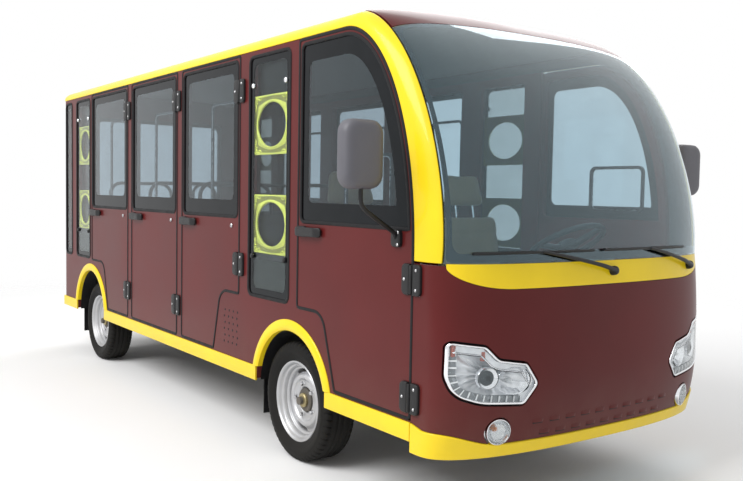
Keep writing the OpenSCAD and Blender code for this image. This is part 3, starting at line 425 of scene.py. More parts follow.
def turned(profile, centre, axis, cells=96):
    """Turned shape: the profile (radius, place along the axis) carried round the axis through the centre."""
    axis = np.asarray(axis, float)/np.linalg.norm(axis)
    ref = np.array([0, 0, 1.0]) if abs(axis[2]) < 0.9 else np.array([1.0, 0, 0])
    u = np.cross(ref, axis)
    u /= np.linalg.norm(u)
    v = np.cross(axis, u)
    prof = np.asarray(profile, float)
    a = round_angles(cells)
    ring = np.cos(a)[:, None]*u + np.sin(a)[:, None]*v
    p = np.asarray(centre) + prof[:, None, :1]*ring[None] + prof[:, None, 1:2]*axis
    return band_mesh(p)


def bead(loop, y, width, height, cells=8, back=0.3):
    """Rubber bead along a closed outline in X and Z at the distance y from the middle on the right side: an
    ellipse of the given half width and height, flattened behind."""
    n = loop_normals(loop)
    a = round_angles(cells)
    out = np.where(np.sin(a) > 0, height*np.sin(a), back*height*np.sin(a))
    xz = loop[:, None] + width*np.cos(a)[None, :, None]*n[:, None]
    return band_mesh(on_right(xz, (y + out)[None]), closed=True)


def ring(outer, inner, y0, y1):
    """Flat closed band on the right side between two outlines of equal count, from y0 out to y1."""
    loops = [(outer, y0), (outer, y1), (inner, y1), (inner, y0)]
    return band_mesh(np.stack([on_right(l, y) for l, y in loops]), closed=True, turn=True)


def slab(loop, y0, y1):
    """Plate on the right side inside an outline: both faces as rays from the middle, and the edge strip."""
    mid = (loop.min(0) + loop.max(0))/2
    mid = np.broadcast_to(mid, loop.shape)
    return band_mesh(np.stack([on_right(l, y) for l, y in ((mid, y0), (loop, y0), (loop, y1), (mid, y1))]))


def block(lo, hi, radius, cells=5):
    """Box with rounded edges: a ball's grid whose eight parts are drawn apart to the box's corners, with its
    top and bottom closed by flat faces."""
    lo, hi = np.asarray(lo, float), np.asarray(hi, float)
    q = np.linspace(0, np.pi/2, cells + 1)
    lat = np.concatenate([q - np.pi/2, q])
    lon = np.concatenate([q + k*np.pi/2 for k in range(4)])
    la, lo_ = np.meshgrid(lat, lon, indexing="ij")
    ball = stack(np.cos(la)*np.cos(lo_), np.cos(la)*np.sin(lo_), np.sin(la))
    part_z = np.repeat([-1, 1], cells + 1)[:, None]
    quarter = np.repeat(np.arange(4), cells + 1)[None]
    sx = np.where((quarter == 0) | (quarter == 3), 1, -1)
    sy = np.where(quarter < 2, 1, -1)
    half = (hi - lo)/2 - radius
    p = (lo + hi)/2 + radius*ball + stack(sx*half[0], sy*half[1], part_z*half[2])
    ends = (cells + 1)*np.array([[3, 2, 1, 0], [0, 1, 2, 3]]) + [[0], [(2*cells + 1)*(4*cells + 4)]]
    return p.reshape(-1, 3), np.vstack([grid_quads(2*cells + 2, 4*cells + 4, wrap_v=True)[:, ::-1], ends])


def mirrored(part):
    """The same part on the other side of the bus, with its faces turned back out."""
    v, q = part
    return np.asarray(v, float).reshape(-1, 3)*[1, -1, 1], np.asarray(q)[:, ::-1]


def both_sides(part):
    return joined([part, mirrored(part)])


def same(part):
    return part


def dome(radius, base, high, count=12):
    """Profile of a dome: a quarter ellipse from the rim at the place base to the tip."""
    a = np.linspace(0, np.pi/2, count)
    return np.stack([radius*np.cos(a), base + high*np.sin(a)], axis=-1)


# Shader nodes and groups
def feed(tree, made, inputs):
    """Gives each of a node's inputs a value or another node's output."""
    for key, value in inputs.items():
        if isinstance(value, bpy.types.NodeSocket):
            tree.links.new(value, made.inputs[key])
        else:
            made.inputs[key].default_value = value


def node(tree, kind, inputs, **settings):
    """Shader node of a kind, with its settings and inputs."""
    made = tree.nodes.new("ShaderNode" + kind)
    for key, value in settings.items():
        setattr(made, key, value)
    feed(tree, made, inputs)
    return made


def blended(tree, factor, first, second, end):
    """Mixes two shaders by a factor and leads the result to the tree's end node."""
    both = node(tree, "MixShader", {"Fac": factor, 1: first.outputs[0], 2: second.outputs[0]})
    feed(tree, tree.nodes[end], {"Surface": both.outputs["Shader"]})


def new_group(name, inputs, outputs):
    """Shader group with named inputs, each with its kind and value, and named outputs."""
    tree = bpy.data.node_groups.new(name, "ShaderNodeTree")
    for key, (kind, value) in inputs.items():
        socket = tree.interface.new_socket(key, in_out="INPUT", socket_type="NodeSocket" + kind)
        socket.default_value = value
    for key, kind in outputs.items():
        tree.interface.new_socket(key, in_out="OUTPUT", socket_type="NodeSocket" + kind)
    return tree, tree.nodes.new("NodeGroupInput").outputs, tree.nodes.new("NodeGroupOutput")


def make_grain_group():
    """Uneven finish from two noises in object space: colour shifted lighter and darker, roughness moved,
    fine bumps."""
    tree, given, out = new_group("uneven_finish", {
        "Color": ("Color", MID_GREY), "Vary": ("Float", 0.1), "Scale": ("Float", 20.0),
        "Roughness": ("Float", 0.4), "Rough Vary": ("Float", 0.1), "Bump": ("Float", 0.1),
        "Bump Scale": ("Float", 300.0)}, {"Color": "Color", "Roughness": "Float", "Normal": "Vector"})
    place = node(tree, "TexCoord", {}).outputs["Object"]
    wide = node(tree, "TexNoise", {"Vector": place, "Scale": given["Scale"], "Detail": 5})
    fine = node(tree, "TexNoise", {"Vector": place, "Scale": given["Bump Scale"], "Detail": 3})
    swing = node(tree, "MapRange", {"Value": wide.outputs["Fac"], "From Min": 0.3, "From Max": 0.7,
                                    "To Min": -1, "To Max": 1}).outputs["Result"]
    gain = node(tree, "Math", {0: swing, 1: given["Vary"], 2: 1}, operation="MULTIPLY_ADD")
    tint = node(tree, "VectorMath", {0: given["Color"], "Scale": gain.outputs[0]}, operation="SCALE")
    rough = node(tree, "Math", {0: swing, 1: given["Rough Vary"], 2: given["Roughness"]},
                 operation="MULTIPLY_ADD", use_clamp=True)
    bump = node(tree, "Bump", {"Distance": 0.002, "Strength": given["Bump"], "Height": fine.outputs["Fac"]})
    feed(tree, out, {"Color": tint.outputs[0], "Roughness": rough.outputs[0],
                     "Normal": bump.outputs["Normal"]})
    return tree


def make_dust_group():
    """Road dust: a mask that is full at the ground, fades out at the Top height and is broken up by noise."""
    tree, given, out = new_group("road_dust", {
        "Color": ("Color", MID_GREY), "Roughness": ("Float", 0.4), "Amount": ("Float", 0.3),
        "Top": ("Float", 0.6)}, {"Color": "Color", "Roughness": "Float"})
    place = node(tree, "TexCoord", {}).outputs["Object"]
    height = node(tree, "SeparateXYZ", {0: place}).outputs["Z"]
    low = node(tree, "MapRange", {"Value": height, "From Min": 0.0, "From Max": given["Top"], "To Min": 1,
                                  "To Max": 0},
               interpolation_type="SMOOTHSTEP")
    noise = node(tree, "TexNoise", {"Vector": place, "Scale": 9, "Detail": 7})
    both = node(tree, "Math", {0: low.outputs["Result"], 1: noise.outputs["Fac"]}, operation="MULTIPLY")
    mask = node(tree, "Math", {0: both.outputs[0], 1: given["Amount"]}, operation="MULTIPLY",
                use_clamp=True).outputs[0]
    colour = node(tree, "Mix", {"Factor": mask, "A": given["Color"], "B": DUST_COLOUR}, data_type="RGBA")
    rough = node(tree, "Mix", {"Factor": mask, "A": given["Roughness"], "B": 0.85})
    feed(tree, out, {"Color": colour.outputs["Result"], "Roughness": rough.outputs["Result"]})
    return tree


MID_GREY = (0.5, 0.5, 0.5, 1)
DUST_COLOUR = (0.23, 0.20, 0.16, 1)
GRAIN = make_grain_group()
DUST = make_dust_group()


def finish_material(name, colour, rough=0.4, metallic=0.0, coat=0.0, coat_rough=0.05, vary=0.06, scale=6.0,
                    rough_vary=0.05, bump=0.02, bump_scale=400.0, dust=0.0, dust_top=0.7, sheen=0.0,
                    specular=0.5, tint=(1, 1, 1)):
    """Principled material fed by the uneven finish and, where asked, by road dust."""
    m = bpy.data.materials.new(name)
    m.use_nodes = True
    tree = m.node_tree
    grain = node(tree, "Group", {
        "Color": (*colour, 1), "Vary": vary, "Scale": scale, "Roughness": rough, "Rough Vary": rough_vary,
        "Bump": bump, "Bump Scale": bump_scale}, node_tree=GRAIN).outputs
    last = grain
    if dust > 0:
        last = node(tree, "Group", {"Color": grain["Color"], "Roughness": grain["Roughness"], "Amount": dust,
                                    "Top": dust_top}, node_tree=DUST).outputs
    feed(tree, tree.nodes["Principled BSDF"], {
        "Base Color": last["Color"], "Roughness": last["Roughness"], "Normal": grain["Normal"],
        "Metallic": metallic, "Coat Weight": coat, "Coat Roughness": coat_rough, "Sheen Weight": sheen,
        "Specular IOR Level": specular, "Specular Tint": (*tint, 1)})
    return m


def glass_material(name, colour, rough=0.02, bump=0.004, bump_scale=2.5, bend=1.45):
    """Tinted pane: clear transmission with faint waves, letting shadow rays straight through."""
    m = finish_material(name, colour, rough, vary=0.03, rough_vary=0.01, bump=bump, bump_scale=bump_scale,
                        tint=SKY_REFLECTION_TINT)
    tree = m.node_tree
    shader = tree.nodes["Principled BSDF"]
    feed(tree, shader, {"Transmission Weight": 1, "IOR": bend})
    clear = node(tree, "BsdfTransparent", {"Color": (*colour, 1)})
    shadow = node(tree, "LightPath", {}).outputs["Is Shadow Ray"]
    blended(tree, shadow, shader, clear, "Material Output")
    return m


# Specular tint of the glass and the black frit: a painted blue sky reflection, since the world is plain white
SKY_REFLECTION_TINT = (0.74, 0.92, 1.0)
MAROON = finish_material("maroon_paint", (0.098, 0.0122, 0.0120), 0.34, coat=0.16, coat_rough=0.05,
                         vary=0.10, scale=2.2, bump=0.012, bump_scale=160, dust=0.3, dust_top=0.7,
                         specular=0.10)
YELLOW = finish_material("yellow_paint", (0.88, 0.635, 0.011), 0.34, coat=0.25, coat_rough=0.08, vary=0.05,
                         scale=5, bump=0.012, bump_scale=160, dust=0.25, dust_top=0.55, specular=0.2)
RUBBER = finish_material("black_rubber", (0.010, 0.010, 0.011), 0.55, vary=0.25, scale=30, rough_vary=0.12,
                         bump=0.15, bump_scale=900, specular=0.2)
PLASTIC = finish_material("black_plastic", (0.013, 0.013, 0.014), 0.40, vary=0.2, scale=25, rough_vary=0.08,
                          bump=0.2, bump_scale=1500, specular=0.3)
GREY_PLASTIC = finish_material("grey_plastic", (0.085, 0.088, 0.094), 0.5, vary=0.12, scale=18, bump=0.25,
                               bump_scale=1300)
DASH_GREY = finish_material("dash_grey", (0.23, 0.245, 0.24), 0.6, vary=0.1, scale=18, bump=0.25,
                            bump_scale=1300)
TYRE_RUBBER = finish_material("tyre_rubber", (0.009, 0.0088, 0.0085), 0.70, vary=0.3, scale=14,
                              rough_vary=0.1, bump=0.25, bump_scale=500, dust=0.06, dust_top=0.5,
                              specular=0.15)
RIM_STEEL = finish_material("silver_rim", (0.55, 0.56, 0.58), 0.34, metallic=0.75, vary=0.08, scale=12,
                            rough_vary=0.1, bump=0.05, bump_scale=700, dust=0.55, dust_top=0.6)
CHROME = finish_material("chrome", (0.80, 0.81, 0.83), 0.08, metallic=1.0, vary=0.02, rough_vary=0.03,
                         bump=0.005)
SCREW_STEEL = finish_material("screw_steel", (0.50, 0.50, 0.51), 0.28, metallic=1.0, vary=0.12, scale=60,
                              bump=0.05)
BRASS = finish_material("hub_cap_brass", (0.36, 0.30, 0.16), 0.42, metallic=0.8, vary=0.2, scale=25,
                        bump=0.08)
CHASSIS = finish_material("chassis_black", (0.020, 0.020, 0.021), 0.55, vary=0.3, scale=8, rough_vary=0.15,
                          bump=0.15, bump_scale=250, dust=1.0, dust_top=0.7)
FLOOR_COVER = finish_material("floor_cover", (0.075, 0.076, 0.08), 0.75, vary=0.15, scale=20, bump=0.4,
                              bump_scale=350)
BATTERY = finish_material("battery_case", (0.11, 0.12, 0.13), 0.5, metallic=0.2, vary=0.1, scale=10, dust=0.8)
LEATHER = finish_material("seat_leather", (0.070, 0.045, 0.040), 0.48, vary=0.16, scale=9, rough_vary=0.1,
                          bump=0.5, bump_scale=420, sheen=0.15)
SEAT_TAN = finish_material("seat_tan", (0.29, 0.218, 0.118), 0.55, vary=0.12, scale=9, rough_vary=0.1,
                           bump=0.5, bump_scale=420, sheen=0.15)
SEAT_BASE = finish_material("seat_base", (0.15, 0.15, 0.16), 0.6, vary=0.1, scale=12, bump=0.2,
                            bump_scale=800)
LIME = finish_material("ornament_lime", (0.50, 0.50, 0.065), 0.38, coat=0.3, vary=0.12, scale=14, bump=0.1,
                       bump_scale=260)
FRIT = finish_material("black_frit", (0.006, 0.006, 0.007), 0.10, vary=0.2, scale=12, bump=0.0,
                       rough_vary=0.02, specular=0.16, tint=SKY_REFLECTION_TINT)
TAIL_RED = finish_material("tail_red", (0.42, 0.014, 0.014), 0.15, coat=1.0, vary=0.1, scale=20, bump=0.3,
                           bump_scale=200)
AMBER = finish_material("amber_lens", (0.80, 0.22, 0.015), 0.15, coat=1.0, vary=0.1, scale=60, bump=0.3,
                        bump_scale=300)
LAMP_BOWL = finish_material("lamp_bowl", (0.84, 0.85, 0.87), 0.18, metallic=0.55, vary=0.1, scale=30,
                            bump=0.08, bump_scale=120)
LAMP_DARK = finish_material("lamp_dark", (0.03, 0.031, 0.033), 0.35, vary=0.2, scale=30, bump=0.1)
LED_CELL = finish_material("led_cell", (0.82, 0.83, 0.84), 0.22, coat=1.0, vary=0.06, scale=80, bump=0.3,
                           bump_scale=500)
LINING = finish_material("roof_lining", (0.30, 0.29, 0.27), 0.85, vary=0.08, scale=30, bump=0.3,
                         bump_scale=900)
DARK_LINING = finish_material("dark_lining", (0.030, 0.030, 0.032), 0.7, vary=0.15, scale=20, bump=0.3,
                              bump_scale=900, specular=0.2)
WINDOW_GLASS = glass_material("tinted_glass", (0.48, 0.56, 0.61), bend=1.42)
SCREEN_GLASS = glass_material("screen_glass", (0.67, 0.83, 0.90), bend=1.60)
CLEAR_GLASS = glass_material("clear_glass", (0.82, 0.88, 0.90), bend=1.20)
FILM_GLASS = glass_material("dark_film", (0.40, 0.43, 0.44), bend=1.15)
# Darker lime for the sunk field of the ornament plates: painted shade in the recess
LIME_SHADE = finish_material("ornament_painted_shade", (0.17, 0.16, 0.018), 0.42, coat=0.3, vary=0.15, scale=30,
                            bump=0.1)
LOWER_GREY = finish_material("lower_pane_grey", (0.026, 0.028, 0.026), 0.4, vary=0.1, scale=5, bump=0.03,
                             specular=0.1)
MIRROR_GREY = finish_material("mirror_grey", (0.102, 0.101, 0.117), 0.45, vary=0.08, scale=8, bump=0.2,
                              bump_scale=1300)
LENS_GLASS = glass_material("clear_lens", (0.93, 0.95, 0.96), 0.03)
FOG_GLASS = glass_material("fluted_lens", (0.80, 0.82, 0.82), 0.20, bump=0.25, bump_scale=260)
LED_GREY = finish_material("led_grey", (0.24, 0.25, 0.26), 0.25, metallic=0.4, vary=0.2, scale=60, bump=0.2)
LAMP_RED = finish_material("lamp_red", (0.46, 0.11, 0.07), 0.2, coat=0.8, vary=0.1, scale=60, bump=0.3,
                           bump_scale=300)

# CAD nodes that stay take a finish by their own name, or else by the kind of piece
NODE_FINISH = {name: finish for finish, names in (
    (CHASSIS, "chassis_frame front_axle rear_axle leaf_springs knuckle_right knuckle_left"),
    (MAROON, "side_frame_right side_frame_left rear_wall front_cowl"),
    (YELLOW, "pillar_hoop scuttle_panel front_bumper sill_trim"),
    (PLASTIC, "hinge_mounts wipers steering_wheel"),
    (GREY_PLASTIC, "mirror_right mirror_left"),
    (LEATHER, "seat_cushions seat_backs"),
    (LENS_GLASS, "headlamp_lenses fog_lamps"),
    (FLOOR_COVER, "floor_pan"), (BATTERY, "battery_pack"), (DASH_GREY, "dashboard"),
    (SEAT_BASE, "seat_frames"), (RUBBER, "mudflaps"), (SCREEN_GLASS, "windscreen"), (LIME, "decor_panels"),
    (LAMP_DARK, "headlamp_housings"), (TAIL_RED, "tail_lamps")) for name in names.split()}
KIND_FINISH = {"_hardware": PLASTIC, "rim_": RIM_STEEL, "tyre_": TYRE_RUBBER, "_glass": WINDOW_GLASS,
               "_panel": MAROON}
for node_name, cad_node in NODES.items():
    kinds = [finish for part, finish in KIND_FINISH.items() if part in node_name]
    cad_node.data.materials.clear()
    cad_node.data.materials.append(NODE_FINISH[node_name] if node_name in NODE_FINISH else kinds[0])

# Roof, windscreen, pillars and front
SKIN = 0.018
UPWARD, FORWARD, HOOP_SIDE = (0, 0, 1), (1, 0, 0), (0, 1, 0.6)
HOOP_IN, LINING_IN, PLUG_IN = 0.0075, 0.0186, 0.0175


def to_tail(grid, rows):
    """The grid with its last row carried straight back to the tail in even steps."""
    last = grid[-1]
    x = np.linspace(last[:, 0], np.full(len(last), TAIL_X), rows + 1)[1:]
    return np.concatenate([grid, stack(x, last[:, 1], last[:, 2])])


def roof_rows(first, rows, back_rows, t):
    """Grid from the sweep angle first up to the crown and straight back to the tail, at the shares t
    across."""
    return to_tail(screen(np.linspace(first, 90, rows)[:, None], t[None]), back_rows)


def pillar_grid(rows, cols, back_rows):
    """Left pillar and cant rail: each row is a quadratic Bezier from the windscreen's edge, along the edge's
    own slope out to the side's plane, and on to the ellipse over the front door. Behind the crown the last
    row runs to the tail."""
    a = np.linspace(0, 90, rows)
    step = 0.004
    p = screen(a, PILLAR_EDGE)
    d = (p - screen(a, PILLAR_EDGE - step))/step
    q = p + d*((HALF - p[:, 1])/d[:, 1])[:, None]
    e = stack(BEND[0] + (BEND_RX + DOOR_GAP)*cosd(a), HALF, BEND[1] + (BEND_RZ + DOOR_GAP + 1.1*SEAM)*sind(a))
    e[0, 2] = SCREEN_LOW
    u = np.linspace(0, 1, cols)[None, :, None]
    return to_tail(p[:, None]*(1 - u)**2 + q[:, None]*2*u*(1 - u) + e[:, None]*u*u, back_rows)


def front_columns(n, side):
    """Shares across the front: the curved part from -1 to 1, and straight runs along both sides."""
    run = np.linspace(1, 2, side + 1)[1:]
    return np.concatenate([-run[::-1], across(n, 1), run])


def between(low, high, rows, t):
    """Front grid whose rows go from the lower edge to the upper edge in equal shares."""
    return front_face(mix(low[None], high[None], np.linspace(0, 1, rows)[:, None]), t[None])


def cut(obj, tools):
    """Takes the tool meshes out of a piece with Boolean modifiers, then keeps the result."""
    for part in tools:
        tool = new_object("cutter", part)
        m = obj.modifiers.new("cut", "BOOLEAN")
        m.operation = "DIFFERENCE"
        m.solver = "EXACT"
        m.object = tool
        done = finished_mesh(obj)
        obj.modifiers.clear()
        obj.data = done
        bpy.data.objects.remove(tool)
    obj.data.shade_smooth()
    obj.data.set_sharp_from_angle(angle=np.radians(SHARP))


def prism(loop, x0, x1):
    """Bar along X: an outline in Y and Z carried from x0 to x1 and closed by rays from its middle."""
    mid = np.broadcast_to(loop.mean(0), loop.shape)
    p = np.stack([stack(x, l[:, 0], l[:, 1]) for l, x in ((mid, x0), (loop, x0), (loop, x1), (mid, x1))])
    return band_mesh(p, turn=True)


glass_grid = screen(np.linspace(0.05, GLASS_TOP, 64)[:, None], across(44, GLASS_EDGE)[None])
piece("windscreen_glass", shell(glass_grid, 0.005, (1, 0, 0.5)), SCREEN_GLASS, "dark_glass", ["windscreen"])
roof_grid = roof_rows(GLASS_TOP + 0.35, 20, 24, across(40, 0.962))
piece("roof_skin", shell(roof_grid, SKIN, UPWARD), MAROON, "body_paint", ["roof_panel"], bevel=0.003)
hoop_grid = pillar_grid(60, 14, 24)
pair("pillar_hoops", [shell(hoop_grid, SKIN, HOOP_SIDE)], YELLOW, "trim_paint", ["pillar_hoop"], bevel=0.003)
hoop_out = outward(hoop_grid, (0, -1, 1))
lining_edge = hoop_grid[:, :1] - HOOP_IN*hoop_out[:, :1] - [0, 0.003, 0]
lining_grid = np.concatenate([lining_edge, hoop_grid - LINING_IN*hoop_out], axis=1)
pair("pillar_linings", [shell(lining_grid, 0.002, HOOP_SIDE)], DARK_LINING, "black_plastic")
rail_end = prism((hoop_grid - PLUG_IN*hoop_out)[-1, ::-1, 1:], TAIL_X + 0.0012, TAIL_X + 0.030)
pair("rail_end_plugs", [rail_end], YELLOW, "trim_paint")

cowl_t = front_columns(56, 6)
cowl_grid = between(lip_top(cowl_t) + SEAM, scuttle_low(cowl_t) - SEAM, 36, cowl_t)
cowl = piece("front_cowl_skin", shell(cowl_grid, SKIN, FORWARD), MAROON, "body_paint", ["front_cowl"])
scuttle_t = across(56, 0.958)
scuttle_grid = between(scuttle_low(scuttle_t), np.full(len(scuttle_t), SCREEN_LOW - 0.0006), 8, scuttle_t)
piece("scuttle_skin", shell(scuttle_grid, 0.016, FORWARD), YELLOW, "trim_paint", ["scuttle_panel"],
      bevel=0.0025)
lip_grid = between(np.full(len(cowl_t), LIP_LOW), lip_top(cowl_t), 10, cowl_t)
lip_grid = lip_grid + 0.006*outward(lip_grid, (5, 60, 0))
piece("front_lip", shell(lip_grid, 0.022, FORWARD), YELLOW, "trim_paint", ["front_bumper"], bevel=0.0045)

# Lamps: outline corners as share of the half width, height over the floor and radius
LAMP_CORNERS = [(0.970, 0.281, 0.022), (0.796, 0.262, 0.036), (0.730, 0.212, 0.036), (0.576, 0.193, 0.030),
                (0.502, 0.113, 0.025), (0.585, 0.036, 0.030), (0.820, 0.050, 0.250), (0.945, 0.082, 0.080),
                (0.974, 0.150, 0.100)]
LAMP_LOOP = evenly(rounded([(w*HALF, FLOOR_Z + h, r) for w, h, r in LAMP_CORNERS]), 160)
LAMP_OUT = loop_normals(LAMP_LOOP)
LAMP_OUT *= np.sign((LAMP_OUT*(LAMP_LOOP - LAMP_LOOP.mean(0))).sum())
LAMP_MID = np.array([0.73*HALF, FLOOR_Z + 0.145])
LED_IN, LED_OUT = 0.036, 0.014
FLUTES = 20
FOG_Y, FOG_Z, FOG_R = 0.541, TYRE_R + 0.100, 0.0484
CUT_X = (NOSE_X - 0.40, NOSE_X + 0.1)


def on_front(y, z, sink):
    """Points on the front face at the places y, z, sunk straight back."""
    p = front_face(z, y/HALF)
    return p - np.asarray(sink)[..., None]*np.array([1.0, 0, 0])


def front_spot(y, z, sink=0.0):
    """One point on the front face."""
    return on_front(np.full(1, y), np.full(1, z), np.full(1, sink))[0]


def lamp_rows(shares, sinks, grow=0.0):
    """Rows round the left headlamp: its outline drawn towards the middle by each share, at a depth behind
    the front."""
    loop = LAMP_LOOP + LAMP_OUT*grow
    rows = [on_front(*(LAMP_MID + s*(loop - LAMP_MID)).T, np.full(len(loop), d))
            for s, d in zip(shares, sinks)]
    return np.stack(rows)


def inset_rows(insets, sinks):
    """Rows round the left headlamp: its outline moved in by each distance, at a depth behind the front."""
    depths = [np.full(len(LAMP_LOOP), d) for d in sinks]
    return np.stack([on_front(*(LAMP_LOOP - LAMP_OUT*g).T, d) for g, d in zip(insets, depths)])


def lamp_strip(first, last, insets, sinks):
    """Part of the headlamp's outline as an open strip, from the point nearest one place to the one nearest
    the other."""
    ends = [np.argmin(np.linalg.norm(LAMP_LOOP - [w*HALF, FLOOR_Z + h], axis=1)) for w, h in (first, last)]
    n = len(LAMP_LOOP)
    step = 1 if (ends[1] - ends[0]) % n < (ends[0] - ends[1]) % n else -1
    run = (ends[0] + step*np.arange((step*(ends[1] - ends[0])) % n + 1)) % n
    return inset_rows(insets, sinks)[:, run]


def lamp_cup(y, z, ry, rz, depth, proud):
    """Reflector cup: an ellipse drawn in to its middle over a parabola of the given depth, with a rolled
    rim."""
    a = round_angles(64)
    s = np.concatenate([[1.10, 1.10, 1.06, 1.0], np.linspace(0.97, 0.0, 14)])[:, None]
    sink = np.concatenate([[depth, 0.002, -0.002, 0.0], depth*(1 - np.linspace(0.97, 0, 14)**2)])[:, None]
    yy, zz = y + s*ry*np.cos(a), z + s*rz*np.sin(a)
    return band_mesh(stack(front_spot(y, z)[0] + proud - sink - 0.9*(yy - y)*0.35, yy, zz))


hole = LAMP_LOOP + LAMP_OUT*0.003
fog_a = round_angles(64)
fog_hole = [FOG_Y, FOG_Z] + (FOG_R + 0.004)*np.stack([np.cos(fog_a), np.sin(fog_a)], axis=-1)
cut(cowl, [place(prism(loop, *CUT_X)) for loop in (hole, fog_hole) for place in (same, mirrored)])
rim_rows = inset_rows([0.004, 0.004, 0.006, 0.010, 0.013, 0.013],
                      [0.024, 0.001, -0.003, -0.003, 0.001, 0.024])
pair("headlamp_rims", [band_mesh(rim_rows, closed=True)], CHROME, "lamp_body")
# Black walls in the gap between the cowl's hole and the lamp rim: painted shade of the gap
gap_shade_rows = inset_rows([-0.0025, -0.0025, 0.008, 0.008], [0.070, 0.012, 0.022, 0.070])
pair("headlamp_gap_shade", [band_mesh(gap_shade_rows, closed=True)], RUBBER, "lamp_body")
bowl_s = np.linspace(1, 0, 20)
bowl_rows = np.concatenate([inset_rows([LED_OUT - 0.001, LED_IN], [0.014, 0.014]),
                            lamp_rows(bowl_s, 0.012 + 0.034*(1 - bowl_s**4), -LED_IN - 0.002)])
flute = np.cos(2*np.pi*FLUTES*np.arange(len(LAMP_LOOP))/len(LAMP_LOOP))
bowl_rows[2:, :, 0] += 0.0035*flute[None]*(4*bowl_s*(1 - bowl_s))[:, None]
pair("headlamp_bowls", [band_mesh(bowl_rows)], LAMP_BOWL, "lamp_body", ["headlamp_housings"], closed=False)
LED_RUN = ((0.971, 0.225), (0.585, 0.036), [LED_OUT, LED_OUT, LED_IN, LED_IN])
led_rows = lamp_strip(*LED_RUN, [0.016, 0.009, 0.009, 0.016])
pair("led_strip", [band_mesh(led_rows.transpose(1, 0, 2))], LED_GREY, "lamp_lens", closed=False)
wall_rows = lamp_strip(*LED_RUN, [0.014, 0.004, 0.004, 0.014])
cells = np.linspace(2, wall_rows.shape[1] - 4, 14).astype(int)
walls = [band_mesh(np.stack([wall_rows[:, k], wall_rows[:, k + 1]])) for k in cells]
pair("led_walls", walls, LED_CELL, "lamp_lens", closed=False)
trim_rows = lamp_strip((0.970, 0.281), (0.502, 0.113), [LED_IN + 0.002], [0.004])
pair("lamp_inner_trim", [tube(trim_rows[0], 0.0032, 10)], CHROME, "lamp_body")
projector_at, cup_at = (0.595, FLOOR_Z + 0.145), (0.487, FLOOR_Z + 0.128)
cups = [lamp_cup(*cup_at, 0.064, 0.046, 0.040, -0.012), lamp_cup(*projector_at, 0.036, 0.036, 0.012, -0.006)]
pair("lamp_reflectors", cups, CHROME, "lamp_body", closed=False)
projector = front_spot(*projector_at) - [0.018, 0, 0]
pair("projector_lenses", [turned(dome(0.031, 0, 0.014), projector, (1, 0.35, 0), 48)], LAMP_DARK, "lamp_lens",
     closed=False)
chip = block((-0.016, -0.010, -0.024), (0.0, 0.010, 0.024), 0.004)
ambers = [(chip[0]*[1, k, k] + front_spot(w*HALF, FLOOR_Z + h, 0.010), chip[1])
          for k, w, h in ((1.0, 0.930, 0.246), (0.7, 0.800, 0.222))]
pair("lamp_ambers", ambers, LAMP_RED, "lamp_lens")
bulb = turned(dome(0.010, 0, 0.030), front_spot(*cup_at) - [0.046, 0, 0], (1, 0.2, 0), 24)
pair("lamp_bulbs", [bulb], LED_CELL, "lamp_lens", closed=False)

# Fog lamps
fog_at = (front_spot(FOG_Y, FOG_Z), np.array([1.0, 0.30, -0.10]))
fog_ring = [(FOG_R - 0.002, -0.040), (FOG_R, -0.038), (FOG_R, 0.006), (FOG_R - 0.001, 0.009),
            (FOG_R - 0.003, 0.010), (FOG_R - 0.005, 0.007), (FOG_R - 0.005, -0.004), (FOG_R - 0.014, -0.018),
            (0.010, -0.030), (0, -0.030)]
pair("fog_rings", [turned(fog_ring, *fog_at, 64)], CHROME, "lamp_body", ["fog_lamps"], closed=False)
fog_lens = np.vstack([dome(FOG_R - 0.0045, 0.003, 0.013, 14)[::-1], dome(FOG_R - 0.0045, 0.006, 0.014, 14)])
pair("fog_lenses", [turned(fog_lens, *fog_at, 64)], FOG_GLASS, "lamp_lens")
pair("fog_bulbs", [turned(dome(0.010, -0.030, 0.016), *fog_at, 32)], AMBER, "lamp_lens", closed=False)

# Louvres between the fog lamps: two rows, the lower one shifted by half a pitch
LOUVRE_PITCH = 0.082
louvre_y = LOUVRE_PITCH*(np.arange(10) - 4.5)
LOUVRES = [(y, TYRE_R + 0.125) for y in louvre_y]
LOUVRES += [(y + LOUVRE_PITCH/2, TYRE_R + 0.078) for y in louvre_y[:-1]]


def louvre(y, z, wide=0.050, high=0.016, proud=0.007):
    """Hood pressed out of the front: a patch that rises from its top edge to an opening at its bottom edge,
    highest in the middle."""
    u = np.linspace(-1, 1, 13)[None]
    v = np.linspace(0, 1, 7)[:, None]
    rise = proud*np.sqrt(1 - u**2 + 1e-9)*ease(v)
    return shell(on_front(y + u*wide/2 + 0*v, z + high*(0.5 - v) + 0*u, -0.0002 - rise), 0.0015, FORWARD)


def slit_shade(y, z, wide=0.046, high=0.0055):
    """Painted shade of the opening under a hood: a thin black patch just over the front."""
    u = np.linspace(-0.5, 0.5, 9)[None]
    v = np.linspace(0.5, -0.5, 3)[:, None]
    return shell(on_front(y + u*wide + 0*v, z + v*high + 0*u, np.full((3, 9), -0.0008)), 0.0006, FORWARD)


piece("louvre_hoods", joined([louvre(y, z) for y, z in LOUVRES]), MAROON, "body_paint")
# Black patches under the hoods: painted shade of their openings
piece("louvre_slit_shade", joined([slit_shade(y, z - 0.0105) for y, z in LOUVRES]), RUBBER, "black_plastic")
lens_s = np.linspace(1, 0, 8)
lens_rows = np.concatenate([lamp_rows(lens_s, np.zeros(8), -0.012)[::-1],
                            lamp_rows(lens_s, np.full(8, 0.004), -0.012)])
pair("headlamp_covers", [band_mesh(lens_rows, turn=True)], LENS_GLASS, "lamp_lens", ["headlamp_lenses"])


